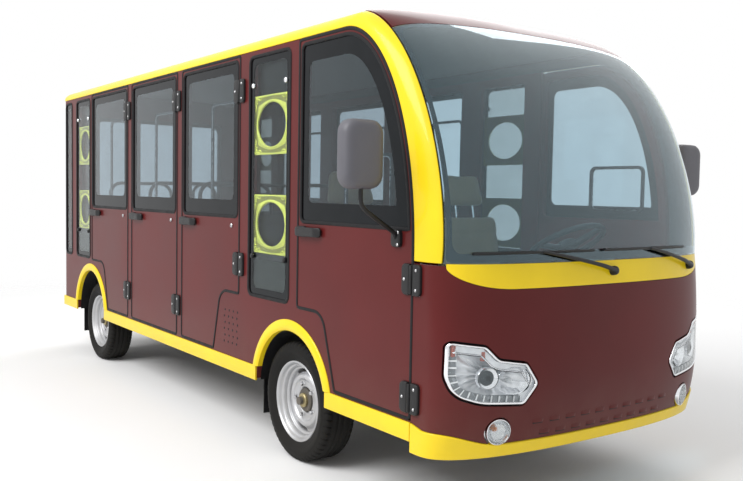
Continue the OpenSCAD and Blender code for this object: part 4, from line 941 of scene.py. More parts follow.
# Sill bands, arch trims and arch liners
def round_arch(centre, r, y, low, rows):
    """Lines round a right-hand arch at the radii r and distances y from the middle, each from the height low
    up and over to the same height again."""
    start = np.arcsin((low - centre[1])/r)
    a = mix(start[None], np.pi - start[None], np.linspace(0, 1, rows)[:, None])
    return stack(centre[0] + r*np.cos(a), -y[None], centre[1] + r*np.sin(a)).reshape(-1, 3)


def arch_trim(centre):
    """Moulded lip round a right-hand arch: a convex profile carried round the arch, each line ending on the
    sill band."""
    rho = np.array([-0.003, -0.003, 0.001, 0.007, 0.015, 0.025, 0.035, 0.042, 0.046, ARCH_TRIM, ARCH_TRIM])
    out = np.array([-0.022, 0.003, 0.0068, 0.0098, 0.0115, 0.0112, 0.0088, 0.0060, 0.0038, 0.0020, -0.001])
    return round_arch(centre, ARCH_R + rho, HALF + out, SILL_TOP, 73), grid_quads(73, len(rho))


def arch_liner(centre):
    """Black liner inside a right-hand arch: a thin band round the arch from the trim's lip inwards."""
    r = ARCH_R - np.array([0.0030, 0.0050, 0.0050, 0.0030])
    y = HALF - np.array([0.020, 0.020, 0.110, 0.110])
    ends = [[0, 1, 2, 3], [195, 194, 193, 192]]
    return round_arch(centre, r, y, SILL_LOW + 0.002, 49), np.vstack([grid_quads(49, 4, wrap_v=True), ends])


def sill_bar(x0, x1):
    """Band along the right sill: a rounded strip carried along X."""
    return prism(rectangle(-(HALF + SILL_OUT), -(HALF - 0.003), SILL_LOW, SILL_TOP, 0.004, cells=4), x0, x1)


SILL_OUT = 0.0075
SILL_RUNS = [(TAIL_X + 0.002, REAR_ARCH[0] - ARCH_R), (REAR_ARCH[0] + ARCH_R, FRONT_ARCH[0] - ARCH_R),
             (FRONT_ARCH[0] + ARCH_R, DOOR_1[1] + DOOR_GAP)]
sill_parts = [arch_trim(FRONT_ARCH), arch_trim(REAR_ARCH)] + [sill_bar(*run) for run in SILL_RUNS]
rear_band = block((TAIL_X - 0.004, -HALF - SILL_OUT, SILL_LOW), (TAIL_X + 0.0037, HALF + SILL_OUT, SILL_TOP),
                  0.0036)
piece("sill_and_arch_trim", joined([both_sides(joined(sill_parts)), rear_band]), YELLOW, "trim_paint",
      ["sill_trim"])
pair("arch_liners", [arch_liner(FRONT_ARCH), arch_liner(REAR_ARCH)], RUBBER, "black_plastic")

# Windows and rubber seals. Doors: outline number, body and the side that they are put on
DOOR_SIDES = [(1, "door_1", same), (2, "door_2", same), (3, "door_3", same), (4, "door_4", same),
              (1, "driver_door", mirrored)]
FRIT_WIDTH = 0.034
FRIT_SIDE, FRIT_BOTTOM, FRIT_TOP, FRIT_BEND = 0.050, 0.080, 0.050, 0.075


def sash_parts(which):
    """Sliding sash behind a door's window: a black frame with round corners and a bright bead along its
    inner edge."""
    x0, x1 = DOORS[which]
    if which == 1:
        x0, x1 = mix(x0, x1, 0.42), x0 + 0.660
        z1 = BEND[1] + 0.36
    else:
        x0, x1 = mix(x0, x1, 0.50), x1 - WINDOW_FRAME - 0.040
        z1 = mix(WINDOW_LOW, DOOR_TOP, 0.74)
    z0 = WINDOW_LOW + 0.050
    outer = evenly(rectangle(x0, x1, z0, z1, 0.034), 120)
    inner = evenly(rectangle(x0, x1, z0, z1, 0.024, -0.013), 120)
    sash = ring(outer, inner, GLASS_IN - 0.016, GLASS_IN - 0.003)
    return sash, bead(inner, GLASS_IN - 0.004, 0.0022, 0.0022, 8, 1.0)


def pane_parts(make_loop, clear=None, count=160):
    """Glass plate, the black border that it is set in and the rubber bead for the window whose outline
    make_loop(grow) gives; clear is the outline inside the border, or a plain inset."""
    clear = make_loop(-FRIT_WIDTH) if clear is None else clear
    mid = (clear.min(0) + clear.max(0))/2
    outer, inner = by_angle(make_loop(-0.0015), mid, 2*count), by_angle(clear, mid, 2*count)
    return (slab(mix(inner, outer, 0.02), GLASS_IN + 0.0012, GLASS_OUT - 0.0003),
            ring(outer, inner, GLASS_IN + 0.0008, GLASS_OUT),
            bead(evenly(make_loop(0.003), count), HALF - 0.001, 0.0085, 0.0055))


def door_panes(which):
    """Glass, border and bead of a door's window."""
    clear = door_window(which, FRIT_SIDE, FRIT_BOTTOM, FRIT_BEND if which == 1 else FRIT_TOP, 0.035)
    return pane_parts(lambda g: door_window(which, -g, -g, -g, 0.025), clear)


def fixed_panes(span):
    """Glass, border and bead of a fixed side window."""
    return pane_parts(lambda g: rectangle(*span, PANE_LOW, PANE_TOP, 0.030, g))


def to_rear(part):
    """Turns a part made for the right side so that it lies on the rear wall: what ran along X runs along Y,
    and the distance outward becomes the distance behind the rear end's plane."""
    v, q = part
    v = np.asarray(v, float).reshape(-1, 3)
    return stack(TAIL_X + HALF + v[:, 1], -v[:, 0], v[:, 2]), q


for which, body, place in DOOR_SIDES:
    glass, frit, seal = door_panes(which)
    sash, sash_bead = sash_parts(which)
    door_seal = bead(evenly(door_outline(which, 0.0020), 320), HALF - 0.001, 0.0075, 0.0048)
    piece(body + "_sash", place(sash), PLASTIC, "black_plastic", body=body)
    piece(body + "_sash_bead", place(sash_bead), SCREW_STEEL, "grey_plastic", body=body)
    piece(body + "_pane", place(glass), WINDOW_GLASS, "dark_glass", [body + "_glass"], body)
    piece(body + "_frit", place(frit), FRIT, "dark_glass", body=body)
    piece(body + "_seals", place(joined([seal, door_seal])), RUBBER, "black_plastic", body=body)
left_sashes, left_sash_beads = zip(*[sash_parts(k) for k in (2, 3, 4)])
piece("left_sashes", mirrored(joined(left_sashes)), PLASTIC, "black_plastic")
piece("left_sash_beads", mirrored(joined(left_sash_beads)), SCREW_STEEL, "grey_plastic")
rear_clear = rectangle(-0.510, 0.510, FLOOR_Z + 0.715, DOOR_TOP - 0.125, 0.050)
rear_panes = pane_parts(lambda g: rectangle(-0.560, 0.560, FLOOR_Z + 0.660, DOOR_TOP - 0.077, 0.060, g),
                        rear_clear, 240)
beside_doors = [fixed_panes(span) for span in (PANE_B, PANE_R, PANE_N)]
beside = [both_sides(joined(same_kind)) for same_kind in zip(*beside_doors)]
across_doors = [joined([*map(mirrored, same_kind[:-1]), to_rear(same_kind[-1])])
                for same_kind in zip(*[door_panes(k) for k in (2, 3, 4)], rear_panes)]
piece("ornament_panes", beside[0], CLEAR_GLASS, "dark_glass", ["fixed_glass"])
piece("fixed_panes", across_doors[0], WINDOW_GLASS, "dark_glass", ["fixed_glass"])
piece("fixed_frit", joined([beside[1], across_doors[1]]), FRIT, "dark_glass")
piece("fixed_seals", joined([beside[2], across_doors[2]]), RUBBER, "black_plastic")

# Ornament plates behind the fixed windows
OVAL_WIDE, OVAL_HIGH = 0.79, 0.74
ORNAMENT_HIGH = 0.1376
ORNAMENT_Z = (FLOOR_Z + 0.635, FLOOR_Z + 1.096)
SCROLL = 0.0200
BOLT = [(0.012, 0), (0.013, 0.004), (0.0125, 0.008), (0.010, 0.0115), (0.005, 0.0135), (0, 0.014)]
TO_RIGHT = (0, -1, 0)


def ornament_loops(x0, x1, z):
    """The oval hole and the edge of an ornament plate, with points at the same angles."""
    size = np.array([(x1 - x0)/2, ORNAMENT_HIGH])
    mid = np.array([(x0 + x1)/2, z])
    a = round_angles(160)
    ray = np.stack([np.cos(a), np.sin(a)], axis=-1)
    return mid + ray*size*[OVAL_WIDE, OVAL_HIGH], mid + ray/np.max(np.abs(ray)/size, axis=1, keepdims=True)


def ornament(oval, edge):
    """Plate with an oval hole: rows of loops from the oval out to the edge, whose height rises to a ring
    round the oval, drops to the field and rises again to the border."""
    share = np.array([0.0, 0.0, 0.06, 0.14, 0.22, 0.30, 0.36, 0.80, 0.84, 0.93, 1.0, 1.0, 0.0])
    depth = np.array([0.0100, 0.0040, 0.0012, 0.0004, 0.0012, 0.0040, 0.0048, 0.0048, 0.0020, 0.0020, 0.0034,
                      0.0100, 0.0100])
    xz = mix(oval[None], edge[None], share[:, None, None])
    return band_mesh(on_right(xz, (GLASS_IN - 0.0018 - depth)[:, None]))


def scroll(x, z, turn_x, turn_z):
    """Corner scroll: a spiral whose radius shrinks evenly over one and three quarter turns, and a leaf that
    curls away along either edge."""
    def at(u, v):
        return stack(x + turn_x*SCROLL*u, -(GLASS_IN - 0.0066), z + turn_z*SCROLL*v)

    a = np.linspace(0.25*np.pi, 3.6*np.pi, 40)
    r = 1 - a/(4.2*np.pi)
    b = np.linspace(0, 0.9*np.pi, 14)
    along, off = 2.75 - 0.85*np.cos(b), 0.45 + 0.55*np.sin(b)
    taper = 0.0022 + 0.0020*np.sin(np.linspace(0, np.pi, 14))
    spiral = tube(at(0.95 + r*np.cos(a), 0.95 + r*np.sin(a)), 0.0038, 8)
    return joined([spiral, tube(at(along, off), taper, 6), tube(at(off, along), taper, 6)])


plates, field_shades, scrolls, films, bars, low_panes, bright, dark = [[] for k in range(8)]
for span in (PANE_B, PANE_R):
    x0, x1 = span[0] + 0.021, span[1] - 0.021
    for z in ORNAMENT_Z:
        oval, edge = ornament_loops(x0, x1, z)
        plates.append(ornament(oval, edge))
        # The sunk field between the ring and the border is covered by a darker lime ring: painted shade
        field_shades.append(ring(mix(oval, edge, 0.80), mix(oval, edge, 0.37), GLASS_IN - 0.0080,
                           GLASS_IN - 0.0062))
        scrolls += [scroll(x, z + k*ORNAMENT_HIGH, turn, -k) for x, turn in ((x0, 1), (x1, -1))
                    for k in (-1, 1)]
    film = rectangle(x0, x1, PANE_LOW + 0.01, PANE_TOP - 0.01, 0.02)
    bar = rectangle(x0 - 0.012, x1 + 0.012, FLOOR_Z + 0.468, FLOOR_Z + 0.494, 0.003)
    low_pane = rectangle(x0 - 0.012, x1 + 0.012, PANE_LOW + 0.012, FLOOR_Z + 0.466, 0.012)
    films.append(slab(film, GLASS_IN - 0.026, GLASS_IN - 0.022))
    bars.append(slab(bar, GLASS_IN - 0.012, GLASS_IN - 0.004))
    low_panes.append(slab(low_pane, GLASS_IN - 0.012, GLASS_IN - 0.006))
    for x in (span[0] + 0.036, span[1] - 0.036):
        bright.append(turned(BOLT, (x, -GLASS_OUT, FLOOR_Z + 1.283), TO_RIGHT, 24))
        dark.append(turned(BOLT, (x, -GLASS_OUT, FLOOR_Z + 0.481), TO_RIGHT, 24))
pair("ornament_plates", plates, LIME, "ornament", ["decor_panels"])
pair("ornament_field_shade", field_shades, LIME_SHADE, "ornament")
pair("ornament_scrolls", scrolls, LIME, "ornament")
pair("ornament_films", films, FILM_GLASS, "dark_glass")
pair("ornament_bars", bars, PLASTIC, "black_plastic")
pair("lower_panes", low_panes, LOWER_GREY, "grey_plastic")
pair("bright_standoffs", bright, CHROME, "grey_plastic")
pair("dark_standoffs", dark, PLASTIC, "black_plastic")

# Vent holes in the panel in front of the second door, drawn as raised black discs: painted shade of the holes
VENT_SHADE_DISC = [(0.0058, -0.001), (0.0058, 0.0006), (0.0040, 0.0010), (0, 0.0010)]
VENT_AT = [(0.485 + 0.046*c + 0.008*(r % 2), -HALF, FLOOR_Z + 0.028 + 0.032*r) for c in range(4)
           for r in range(6)]
piece("vent_hole_shade", joined([turned(VENT_SHADE_DISC, at, TO_RIGHT, 12) for at in VENT_AT]), RUBBER, "black_plastic")

# Door fittings
SEAT_GAP = 0.0003
HINGE_OUT = HALF + 0.009
HINGE_TALL, HINGE_WIDE, HINGE_THICK, HINGE_GAP = 0.057, 0.044, 0.0125, 0.0095
HINGE_Z = {1: (0.470, 0.900), 2: (0.850, 1.690), 3: (0.560, 1.700), 4: (0.560, 1.700)}
BARREL = [(0, -0.052), (0.0060, -0.052), (0.0072, -0.050), (0.0072, 0.050), (0.0060, 0.052), (0, 0.052)]
LOCK = [(0.0105, -0.001), (0.0105, 0.004), (0.0085, 0.006), (0.0035, 0.0065), (0.003, 0.004), (0, 0.004)]
LOCK_Z = WINDOW_LOW - 0.047
HANDLE_Z = FLOOR_Z + 0.619


def capped(p):
    """Closed body from a stack of loops: both end loops are drawn in to their middles."""
    ends = [np.broadcast_to(p[k].mean(0), (1, p.shape[1], 3)) for k in (0, -1)]
    return band_mesh(np.concatenate([ends[0], p, ends[1]]))


def plate(loop, y, thick, edge):
    """Cast cover on the right side: an outline drawn in along a rounded shoulder and closed over."""
    n = loop_normals(loop)
    a = np.linspace(0, np.pi/2, 6)
    inset = np.concatenate([[0.0], edge*(1 - np.cos(a))])
    out = np.concatenate([[0.0], thick - edge + edge*np.sin(a)])
    mid = np.broadcast_to(loop.mean(0), loop.shape)
    shoulder = [on_right(loop - n*g, y + o) for g, o in zip(inset, out)]
    return band_mesh(np.stack([on_right(mid, y), *shoulder, on_right(mid, y + thick)]))


def screw(x, z, y, r=0.0058):
    """Round-headed screw on the right side."""
    return turned([(r, -0.001), (r, 0.0012), (0.8*r, 0.0026), (0.4*r, 0.0034), (0, 0.0036)], (x, -y, z),
                  TO_RIGHT, 16)


def hinge_leaf(x0, x1, z, back_r, front_r):
    """Leaf of a hinge from x0 to x1, with a corner radius for its back edge and one for its front edge."""
    low, high = z - HINGE_TALL, z + HINGE_TALL
    loop = rounded([(x0, low, back_r), (x1, low, front_r), (x1, high, front_r), (x0, high, back_r)])
    return plate(evenly(loop, 72), HALF + SEAT_GAP, HINGE_THICK, 0.005)


def hinge(x, z):
    """One hinge at the axis x and height z: the door's leaf with the barrel, the body's leaf and the screws
    of each."""
    door_x, body_x = x - HINGE_GAP, x + HINGE_GAP
    door_leaf = hinge_leaf(door_x - HINGE_WIDE, door_x, z, 0.020, 0.004)
    body_leaf = hinge_leaf(body_x, body_x + HINGE_WIDE, z, 0.004, 0.016)
    barrel = turned(BARREL, (x, -HINGE_OUT, z), UPWARD, 24)
    body_screws = [screw(body_x + 0.5*HINGE_WIDE, z + k*0.036, HALF + HINGE_THICK) for k in (-1, 1)]
    door_screw = screw(door_x - 0.6*HINGE_WIDE, z, HALF + HINGE_THICK)
    return joined([door_leaf, barrel]), body_leaf, door_screw, joined(body_screws)


def handle(x0):
    """Pull handle: a base block at the door's edge and a lever that runs forward and bends in at its free
    end."""
    z = HANDLE_Z
    base = block((x0 + 0.012, -(HALF + 0.016), z - 0.023), (x0 + 0.070, -(HALF - 0.001), z + 0.023), 0.006)
    u = np.linspace(0, 1, 24)[:, None]
    out = HALF + 0.0225 - 0.012*ease((u - 0.80)/0.2)
    across_y, along_z = rectangle(-0.0065, 0.0065, -0.020, 0.020, 0.005, cells=4).T
    shrink = np.clip(np.minimum(u, 1 - u)*24, 0.55, 1)
    return joined([base, capped(stack(x0 + 0.014 + 0.184*u, -(out + shrink*across_y), z + shrink*along_z))])


body_leaves, body_screws = [], []
for which, body, place in DOOR_SIDES:
    x0, x1 = DOORS[which]
    door_leaves, leaves, door_screws, screws = zip(*[hinge(x1 + 0.004, z) for z in HINGE_Z[which]])
    lock = turned(LOCK, (x1 - 0.080, -HALF, LOCK_Z), TO_RIGHT, 24)
    piece(body + "_fittings", place(joined([*door_leaves, handle(x0)])), PLASTIC, "black_plastic",
          [body + "_hardware"], body)
    piece(body + "_screws", place(joined([*door_screws, lock])), SCREW_STEEL, "grey_plastic", body=body)
    body_leaves.append(place(joined(leaves)))
    body_screws.append(place(joined(screws)))
piece("hinge_leaves", joined(body_leaves), PLASTIC, "black_plastic", ["hinge_mounts"])
piece("hinge_screws", joined(body_screws), SCREW_STEEL, "grey_plastic")

# Mirrors
MIRROR_X = DOOR_1[1] - 0.089
MIRROR_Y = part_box("mirror_right")[0].y
MIRROR_WIDE = 0.170
MIRROR_Z = (SCREEN_LOW + 0.255, SCREEN_LOW + 0.499)
BRACKET_THICK = 0.016
STALK = [(1.921, -0.772, 1.045), (1.926, -0.786, 1.066), (1.932, -0.815, 1.083), (1.940, -0.880, 1.120),
         (1.946, -0.930, 1.152), (1.949, -0.949, 1.180), (1.950, -0.950, 1.236)]


def through(points, count=60):
    """Smooth curve through given points: Catmull-Rom pieces at even steps."""
    q = np.asarray(points, float)
    q = np.vstack([2*q[0] - q[1], q, 2*q[-1] - q[-2]])
    at = np.linspace(0, len(q) - 3 - 1e-9, count)
    k = at.astype(int)
    u = (at - k)[:, None]
    a, b, c, d = q[k], q[k + 1], q[k + 2], q[k + 3]
    return 0.5*(2*b + (c - a)*u + (2*a - 5*b + 4*c - d)*u**2 + (3*b - a - 3*c + d)*u**3)


def mirror_head(insets, forward):
    """Housing of the right mirror: a rounded outline across the bus, carried forward while it is drawn in."""
    rows = []
    for inset, x in zip(insets, forward):
        corner = max(0.006, 0.050 - 0.6*inset)
        loop = rectangle(MIRROR_Y, MIRROR_Y + MIRROR_WIDE, *MIRROR_Z, corner, -inset, 12)
        rows.append(stack(MIRROR_X + x, loop[:, 0], loop[:, 1]))
    return capped(np.stack(rows))


housing = mirror_head([0.012, 0.006, 0.001, 0.0, 0.0, 0.003, 0.009, 0.020, 0.036],
                      [0.002, 0.0, 0.003, 0.010, 0.030, 0.045, 0.054, 0.060, 0.062])
silver = mirror_head([0.014, 0.013], [0.0010, -0.0005])
stalk = tube(through(STALK), 0.0085, 14)
bracket = plate(evenly(rectangle(1.894, 1.948, 1.012, 1.076, 0.016), 72), HALF + SEAT_GAP, BRACKET_THICK,
                0.006)
bracket_screws = [screw(x, z, HALF + BRACKET_THICK)
                  for x, z in ((1.902, 1.067), (1.940, 1.067), (1.938, 1.022))]
for side, body, place in (("right", "door_1", same), ("left", "driver_door", mirrored)):
    piece("mirror_housing_" + side, place(housing), MIRROR_GREY, "grey_plastic", ["mirror_" + side], body)
    piece("mirror_stalk_" + side, place(stalk), PLASTIC, "black_plastic", body=body)
    piece("mirror_glass_" + side, place(silver), CHROME, "dark_glass", body=body)
    piece("mirror_bracket_" + side, place(bracket), PLASTIC, "black_plastic", body=body)
    piece("mirror_screws_" + side, place(joined(bracket_screws)), SCREW_STEEL, "grey_plastic", body=body)

# Tail lamps: a dark base and three lenses with rounded shoulders
TAIL_Y = (0.600, 0.700)
TAIL_Z = (TYRE_R + 0.372, TYRE_R + 0.672)
TAIL_THICK = 0.014
LENS_HIGH = (TAIL_Z[1] - TAIL_Z[0] - 0.012)/3


def tail_plate(low, high, inset, corner, y, edge):
    """Plate on the right of the rear wall, between two heights."""
    loop = rectangle(TAIL_Y[0] + inset, TAIL_Y[1] - inset, low, high, corner)
    return to_rear(plate(evenly(loop, 80), y, TAIL_THICK, edge))


lens_low = TAIL_Z[0] + 0.006 + LENS_HIGH*np.arange(3)
lenses = [tail_plate(z + 0.002, z + LENS_HIGH - 0.002, 0.006, 0.010, HALF - 0.004, 0.006) for z in lens_low]
pair("tail_bases", [tail_plate(*TAIL_Z, 0, 0.014, HALF - TAIL_THICK, 0.003)], PLASTIC, "lamp_body",
     ["tail_lamps"])
pair("tail_red_lenses", [lenses[0], lenses[2]], TAIL_RED, "tail_lens")
pair("tail_amber_lenses", [lenses[1]], AMBER, "tail_lens")

# Windscreen border, roof lining and wipers
BORDER_OUT = evenly(rectangle(-0.962, 0.962, 0.006, 0.760, 0.020), 360)
BORDER_IN = evenly(rectangle(-0.942, 0.942, 0.040, 0.742, 0.040), 360)
BORDER_DEPTH = (0.0054, 0.0066)
WIPER_PIVOT = [(0.018, -0.012), (0.018, 0.004), (0.015, 0.012), (0.008, 0.016), (0, 0.017)]


def in_screen(loop, sink):
    """Plane outline (share across, share of the sweep) laid on the windscreen and sunk along the screen's
    normal."""
    t, a = loop[:, 0], 90*loop[:, 1]
    at = screen(a, t)
    side = np.cross(screen(a, t + 0.004) - at, screen(a + 0.4, t) - at)
    side *= np.sign(side[:, :1])/np.linalg.norm(side, axis=1, keepdims=True)
    return at - sink*side


def wiper(t0, t1, base_t):
    """Wiper: a blade and its spine along the foot of the windscreen, an arm that tapers from the pivot, and
    the pivot."""
    t = np.linspace(t0, t1, 40)
    blade = screen(np.full(40, 3.4), t) + [0.006, 0, 0.002]
    spine = screen(np.full(40, 3.5), t) + stack(0.012 + 0.008*np.sin(np.linspace(0, np.pi, 40)), 0, 0.003)
    pivot = front_spot(base_t*HALF, SCREEN_LOW - 0.040, -0.010)
    grip = screen(np.array([3.5]), np.array([(t0 + t1)/2]))[0] + [0.022, 0, 0.003]
    arm = through([pivot + [0.010, 0, 0], mix(pivot, grip, 0.25) + [0.016, 0, 0.006],
                   mix(pivot, grip, 0.7) + [0.012, 0, 0.004], grip], 40)
    return joined([tube(blade, 0.0055, 8), tube(spine, 0.0042, 8),
                   tube(arm, np.linspace(0.0095, 0.0055, 40), 10),
                   turned(WIPER_PIVOT, pivot, (1, 0, 0.2), 24)])


border = [in_screen(BORDER_OUT, BORDER_DEPTH[0]), in_screen(BORDER_IN, BORDER_DEPTH[0]),
          in_screen(BORDER_IN, BORDER_DEPTH[1]), in_screen(BORDER_OUT, BORDER_DEPTH[1])]
piece("screen_border", band_mesh(np.stack(border), closed=True), FRIT, "dark_glass")
lining = roof_rows(GLASS_TOP + 3.0, 14, 20, across(30, 0.93))
lining[..., 0] = np.maximum(lining[..., 0], TAIL_X + 0.05)
lining = lining - 0.021*outward(lining, (-1, 30, 2))
piece("roof_lining", shell(lining, 0.004, UPWARD), LINING, "grey_plastic")
piece("wiper_set", joined([wiper(-0.86, -0.14, 0.013), wiper(-0.06, 0.66, 0.737)]), PLASTIC, "black_plastic",
      ["wipers"])

# Steering wheel on its leaning column
WHEEL_AT = np.array([DOOR_1[1] - 0.276, 0.360, SCREEN_LOW + 0.018])
WHEEL_R = 0.180
COLUMN_LEAN = np.radians(32)
COLUMN = np.array([-np.sin(COLUMN_LEAN), 0, np.cos(COLUMN_LEAN)])
COLUMN_FORE = np.array([np.cos(COLUMN_LEAN), 0, np.sin(COLUMN_LEAN)])
HUB = [(0, -0.16), (0.021, -0.16), (0.021, -0.030), (0.050, -0.024), (0.053, -0.010), (0.050, 0.006),
       (0.036, 0.014), (0.018, 0.017), (0, 0.018)]


def on_wheel(u, v, w):
    """Place in the steering wheel's own frame: u forward in its plane, v to the left, w along the column."""
    return WHEEL_AT + u[..., None]*COLUMN_FORE + v[..., None]*[0, 1.0, 0] + w[..., None]*COLUMN


def wheel_rim():
    """Rim of the steering wheel: a ring whose thickness ripples for the fingers."""
    turn = round_angles(72)[:, None]
    around = round_angles(16)
    ripple = 0.0125 + 0.0008*np.cos(24*turn)
    r = WHEEL_R + ripple*np.cos(around)
    return band_mesh(on_wheel(r*np.cos(turn), r*np.sin(turn), ripple*np.sin(around)), closed=True)


def wheel_spoke(angle):
    """Spoke that tapers from the hub out and rises to the rim."""
    r = np.linspace(0.030, WHEEL_R - 0.004, 16)
    return tube(on_wheel(r*cosd(angle), r*sind(angle), -0.012 + 0.012*ease((r - 0.05)/0.12)),
                np.linspace(0.017, 0.011, 16), 12)


wheel_parts = [wheel_rim(), *map(wheel_spoke, (30, 150, 270)), turned(HUB, WHEEL_AT, COLUMN, 48)]
piece("steering_wheel_rim", joined(wheel_parts), PLASTIC, "black_plastic", ["steering_wheel"])

# Padded seats
SEAT_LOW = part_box("seat_cushions")[0].z
SEAT_DEPTH, SEAT_THICK, BACK_HIGH = 0.400, 0.110, 0.450
BACK_LEAN = np.radians(10)
BACK_X = -0.050
BENCH_HALF = HALF - 0.110
FRONT_HALF = 0.5*(0.776 - 0.171)*HALF
FRONT_MID = 0.5*(0.776 + 0.171)*HALF
SEAT_ROWS = [FRONT_AXLE_X + 0.020, DOOR_2[0] - 0.070, DOOR_3[0] - 0.070, DOOR_4[0] - 0.060]
PAD_IN = 0.012
RAIL_HALF = 0.235
SWELL_FRAMES = 20


def inflated(part, voxel, cap):
    """Padded form: the closed part remeshed into even cells, then swelled by Cloth with pressure inside and
    no gravity over 20 frames, with each point held to at most cap from where it began."""
    obj = new_object("pad_start", part)
    even = obj.modifiers.new("even", "REMESH")
    even.mode = "VOXEL"
    even.voxel_size = voxel
    mesh = finished_mesh(obj)
    obj.data = mesh
    obj.modifiers.clear()
    start = np.empty(3*len(mesh.vertices))
    mesh.vertices.foreach_get("co", start)
    corners = np.empty(len(mesh.loops), dtype=int)
    mesh.loops.foreach_get("vertex_index", corners)
    end = start.copy()
    cloth = obj.modifiers.new("swell", "CLOTH")
    cloth.settings.use_pressure = True
    cloth.settings.uniform_pressure_force = 4
    cloth.settings.effector_weights.gravity = 0
    cloth.point_cache.frame_start = 1
    cloth.point_cache.frame_end = SWELL_FRAMES
    for step in range(1, SWELL_FRAMES + 1):
        bpy.context.scene.frame_set(step)
    done = obj.evaluated_get(bpy.context.evaluated_depsgraph_get())
    done.data.vertices.foreach_get("co", end)
    bpy.context.scene.frame_set(1)
    move = (end - start).reshape(-1, 3)
    reach = np.linalg.norm(move, axis=1, keepdims=True)
    points = start.reshape(-1, 3) + move*np.minimum(1, cap/np.maximum(reach, 1e-9))
    bpy.data.objects.remove(obj)
    return points, corners.reshape(-1, 4)


def groove(v, at, depth, width):
    """Sewn channel: a bell-shaped dip of the given depth round each place."""
    return sum(depth*np.exp(-((v - k)/width)**2) for k in at)


def cushion_pad(half, seams, voxel):
    """Seat cushion about its rear edge: swelled, then sewn in channels along its top and one across near its
    front."""
    low, high = (PAD_IN, -half + PAD_IN, PAD_IN), (SEAT_DEPTH - PAD_IN, half - PAD_IN, SEAT_THICK - 0.014)
    v, q = inflated(block(low, high, 0.036, 8), voxel, 0.011)
    top = ease((v[:, 2] - 0.06)/0.03)
    v[:, 2] -= top*(groove(v[:, 1], seams, 0.009, 0.011) + groove(v[:, 0], (0.300,), 0.006, 0.010))
    v[:, 2] = np.maximum(v[:, 2], 0.0004)
    return v, q


def leant(v):
    """Turns points of a backrest's own frame back by its lean, about the rear edge of the cushion."""
    rise = 0.020 - 0.020*np.cos(BACK_LEAN) + 0.065*np.sin(BACK_LEAN)
    x = v[:, 0]*np.cos(BACK_LEAN) - v[:, 2]*np.sin(BACK_LEAN) - 0.002
    z = v[:, 0]*np.sin(BACK_LEAN) + v[:, 2]*np.cos(BACK_LEAN) + rise
    return stack(x, v[:, 1], z)


def back_pad(half, seams, voxel):
    """Backrest in its own frame: its top edge falls towards both ends, then it is swelled, sewn and leant
    back."""
    v, q = block((-0.076, -half + PAD_IN, 0.010), (-0.024, half - PAD_IN, BACK_HIGH - PAD_IN), 0.026, 8)
    v[:, 2] *= 1 - 0.16*np.abs(v[:, 1]/half)**5
    v, q = inflated((v, q), voxel, 0.009)
    front = ease((v[:, 0] + 0.05)/0.02)
    v[:, 0] -= front*(groove(v[:, 1], seams, 0.008, 0.011) + groove(v[:, 2], (0.13, 0.31), 0.006, 0.010))
    return leant(v), q


def headrest_pad(voxel):
    """Headrest over a front backrest: a rounded block narrowed towards its top, swelled and leant back."""
    v, q = block((-0.082, -0.130, BACK_HIGH + 0.012), (-0.022, 0.130, BACK_HIGH + 0.175), 0.029, 8)
    v[:, 1] *= 1 - 0.16*ease((v[:, 2] - BACK_HIGH - 0.01)/0.16)
    v, q = inflated((v, q), voxel, 0.009)
    return leant(v), q


def bench_rail(mid):
    """Grab rail over half a bench: a round tube along a rounded arch that stands in the backrest, leant back
    with it."""
    left, right = mid - RAIL_HALF, mid + RAIL_HALF
    upper = rectangle(left, right, BACK_HIGH - 0.200, BACK_HIGH + 0.115, 0.085, cells=8)[18:]
    arch = np.vstack([[right, BACK_HIGH - 0.100], upper, [left, BACK_HIGH - 0.100]])
    return tube(leant(stack(BACK_X, arch[:, 0], arch[:, 1])), 0.012, 12)


def at_seat(part, x, y):
    """A part of a seat moved to its row and place across."""
    return part[0] + [x, y, SEAT_LOW], part[1]


def padded_piece(name, part, x, y, cover, replaced=()):
    """One padded piece at its row, with one subdivision."""
    obj = piece(name, at_seat(part, x, y), cover, "seat_cover", replaced, angle=80, closed=False)
    smooth = obj.modifiers.new("smooth", "SUBSURF")
    smooth.levels = 1
    smooth.render_levels = 1


front_x, *bench_xs = SEAT_ROWS
bench_seams = (-BENCH_HALF/3, BENCH_HALF/3)
front_cushion = cushion_pad(FRONT_HALF, (), 0.014)
front_back = back_pad(FRONT_HALF, (), 0.014)
bench_cushion = cushion_pad(BENCH_HALF, bench_seams, 0.020)
bench_back = back_pad(BENCH_HALF, bench_seams, 0.020)
headrest = headrest_pad(0.012)
post_z = np.linspace(BACK_HIGH - 0.050, BACK_HIGH + 0.080, 4)
posts = joined([tube(leant(stack(BACK_X, y, post_z)), 0.006, 12) for y in (-0.060, 0.060)])
rails = joined([bench_rail(-BENCH_HALF/2), bench_rail(BENCH_HALF/2)])
FRONT_SEATS = (("right", -FRONT_MID), ("left", FRONT_MID))
for side, y in FRONT_SEATS:
    padded_piece("front_cushion_" + side, front_cushion, front_x, y, SEAT_TAN, ["seat_cushions"])
    padded_piece("front_back_" + side, front_back, front_x, y, SEAT_TAN, ["seat_backs"])
    padded_piece("headrest_" + side, headrest, front_x, y, SEAT_TAN)
piece("headrest_posts", joined([at_seat(posts, front_x, y) for side, y in FRONT_SEATS]), CHROME, "seat_base")
piece("bench_rails", joined([at_seat(rails, x, 0) for x in bench_xs]), PLASTIC, "seat_base")
for k, x in enumerate(bench_xs, 1):
    padded_piece("bench_cushion_%d" % k, bench_cushion, x, 0.0, LEATHER, ["seat_cushions"])
    padded_piece("bench_back_%d" % k, bench_back, x, 0.0, LEATHER, ["seat_backs"])

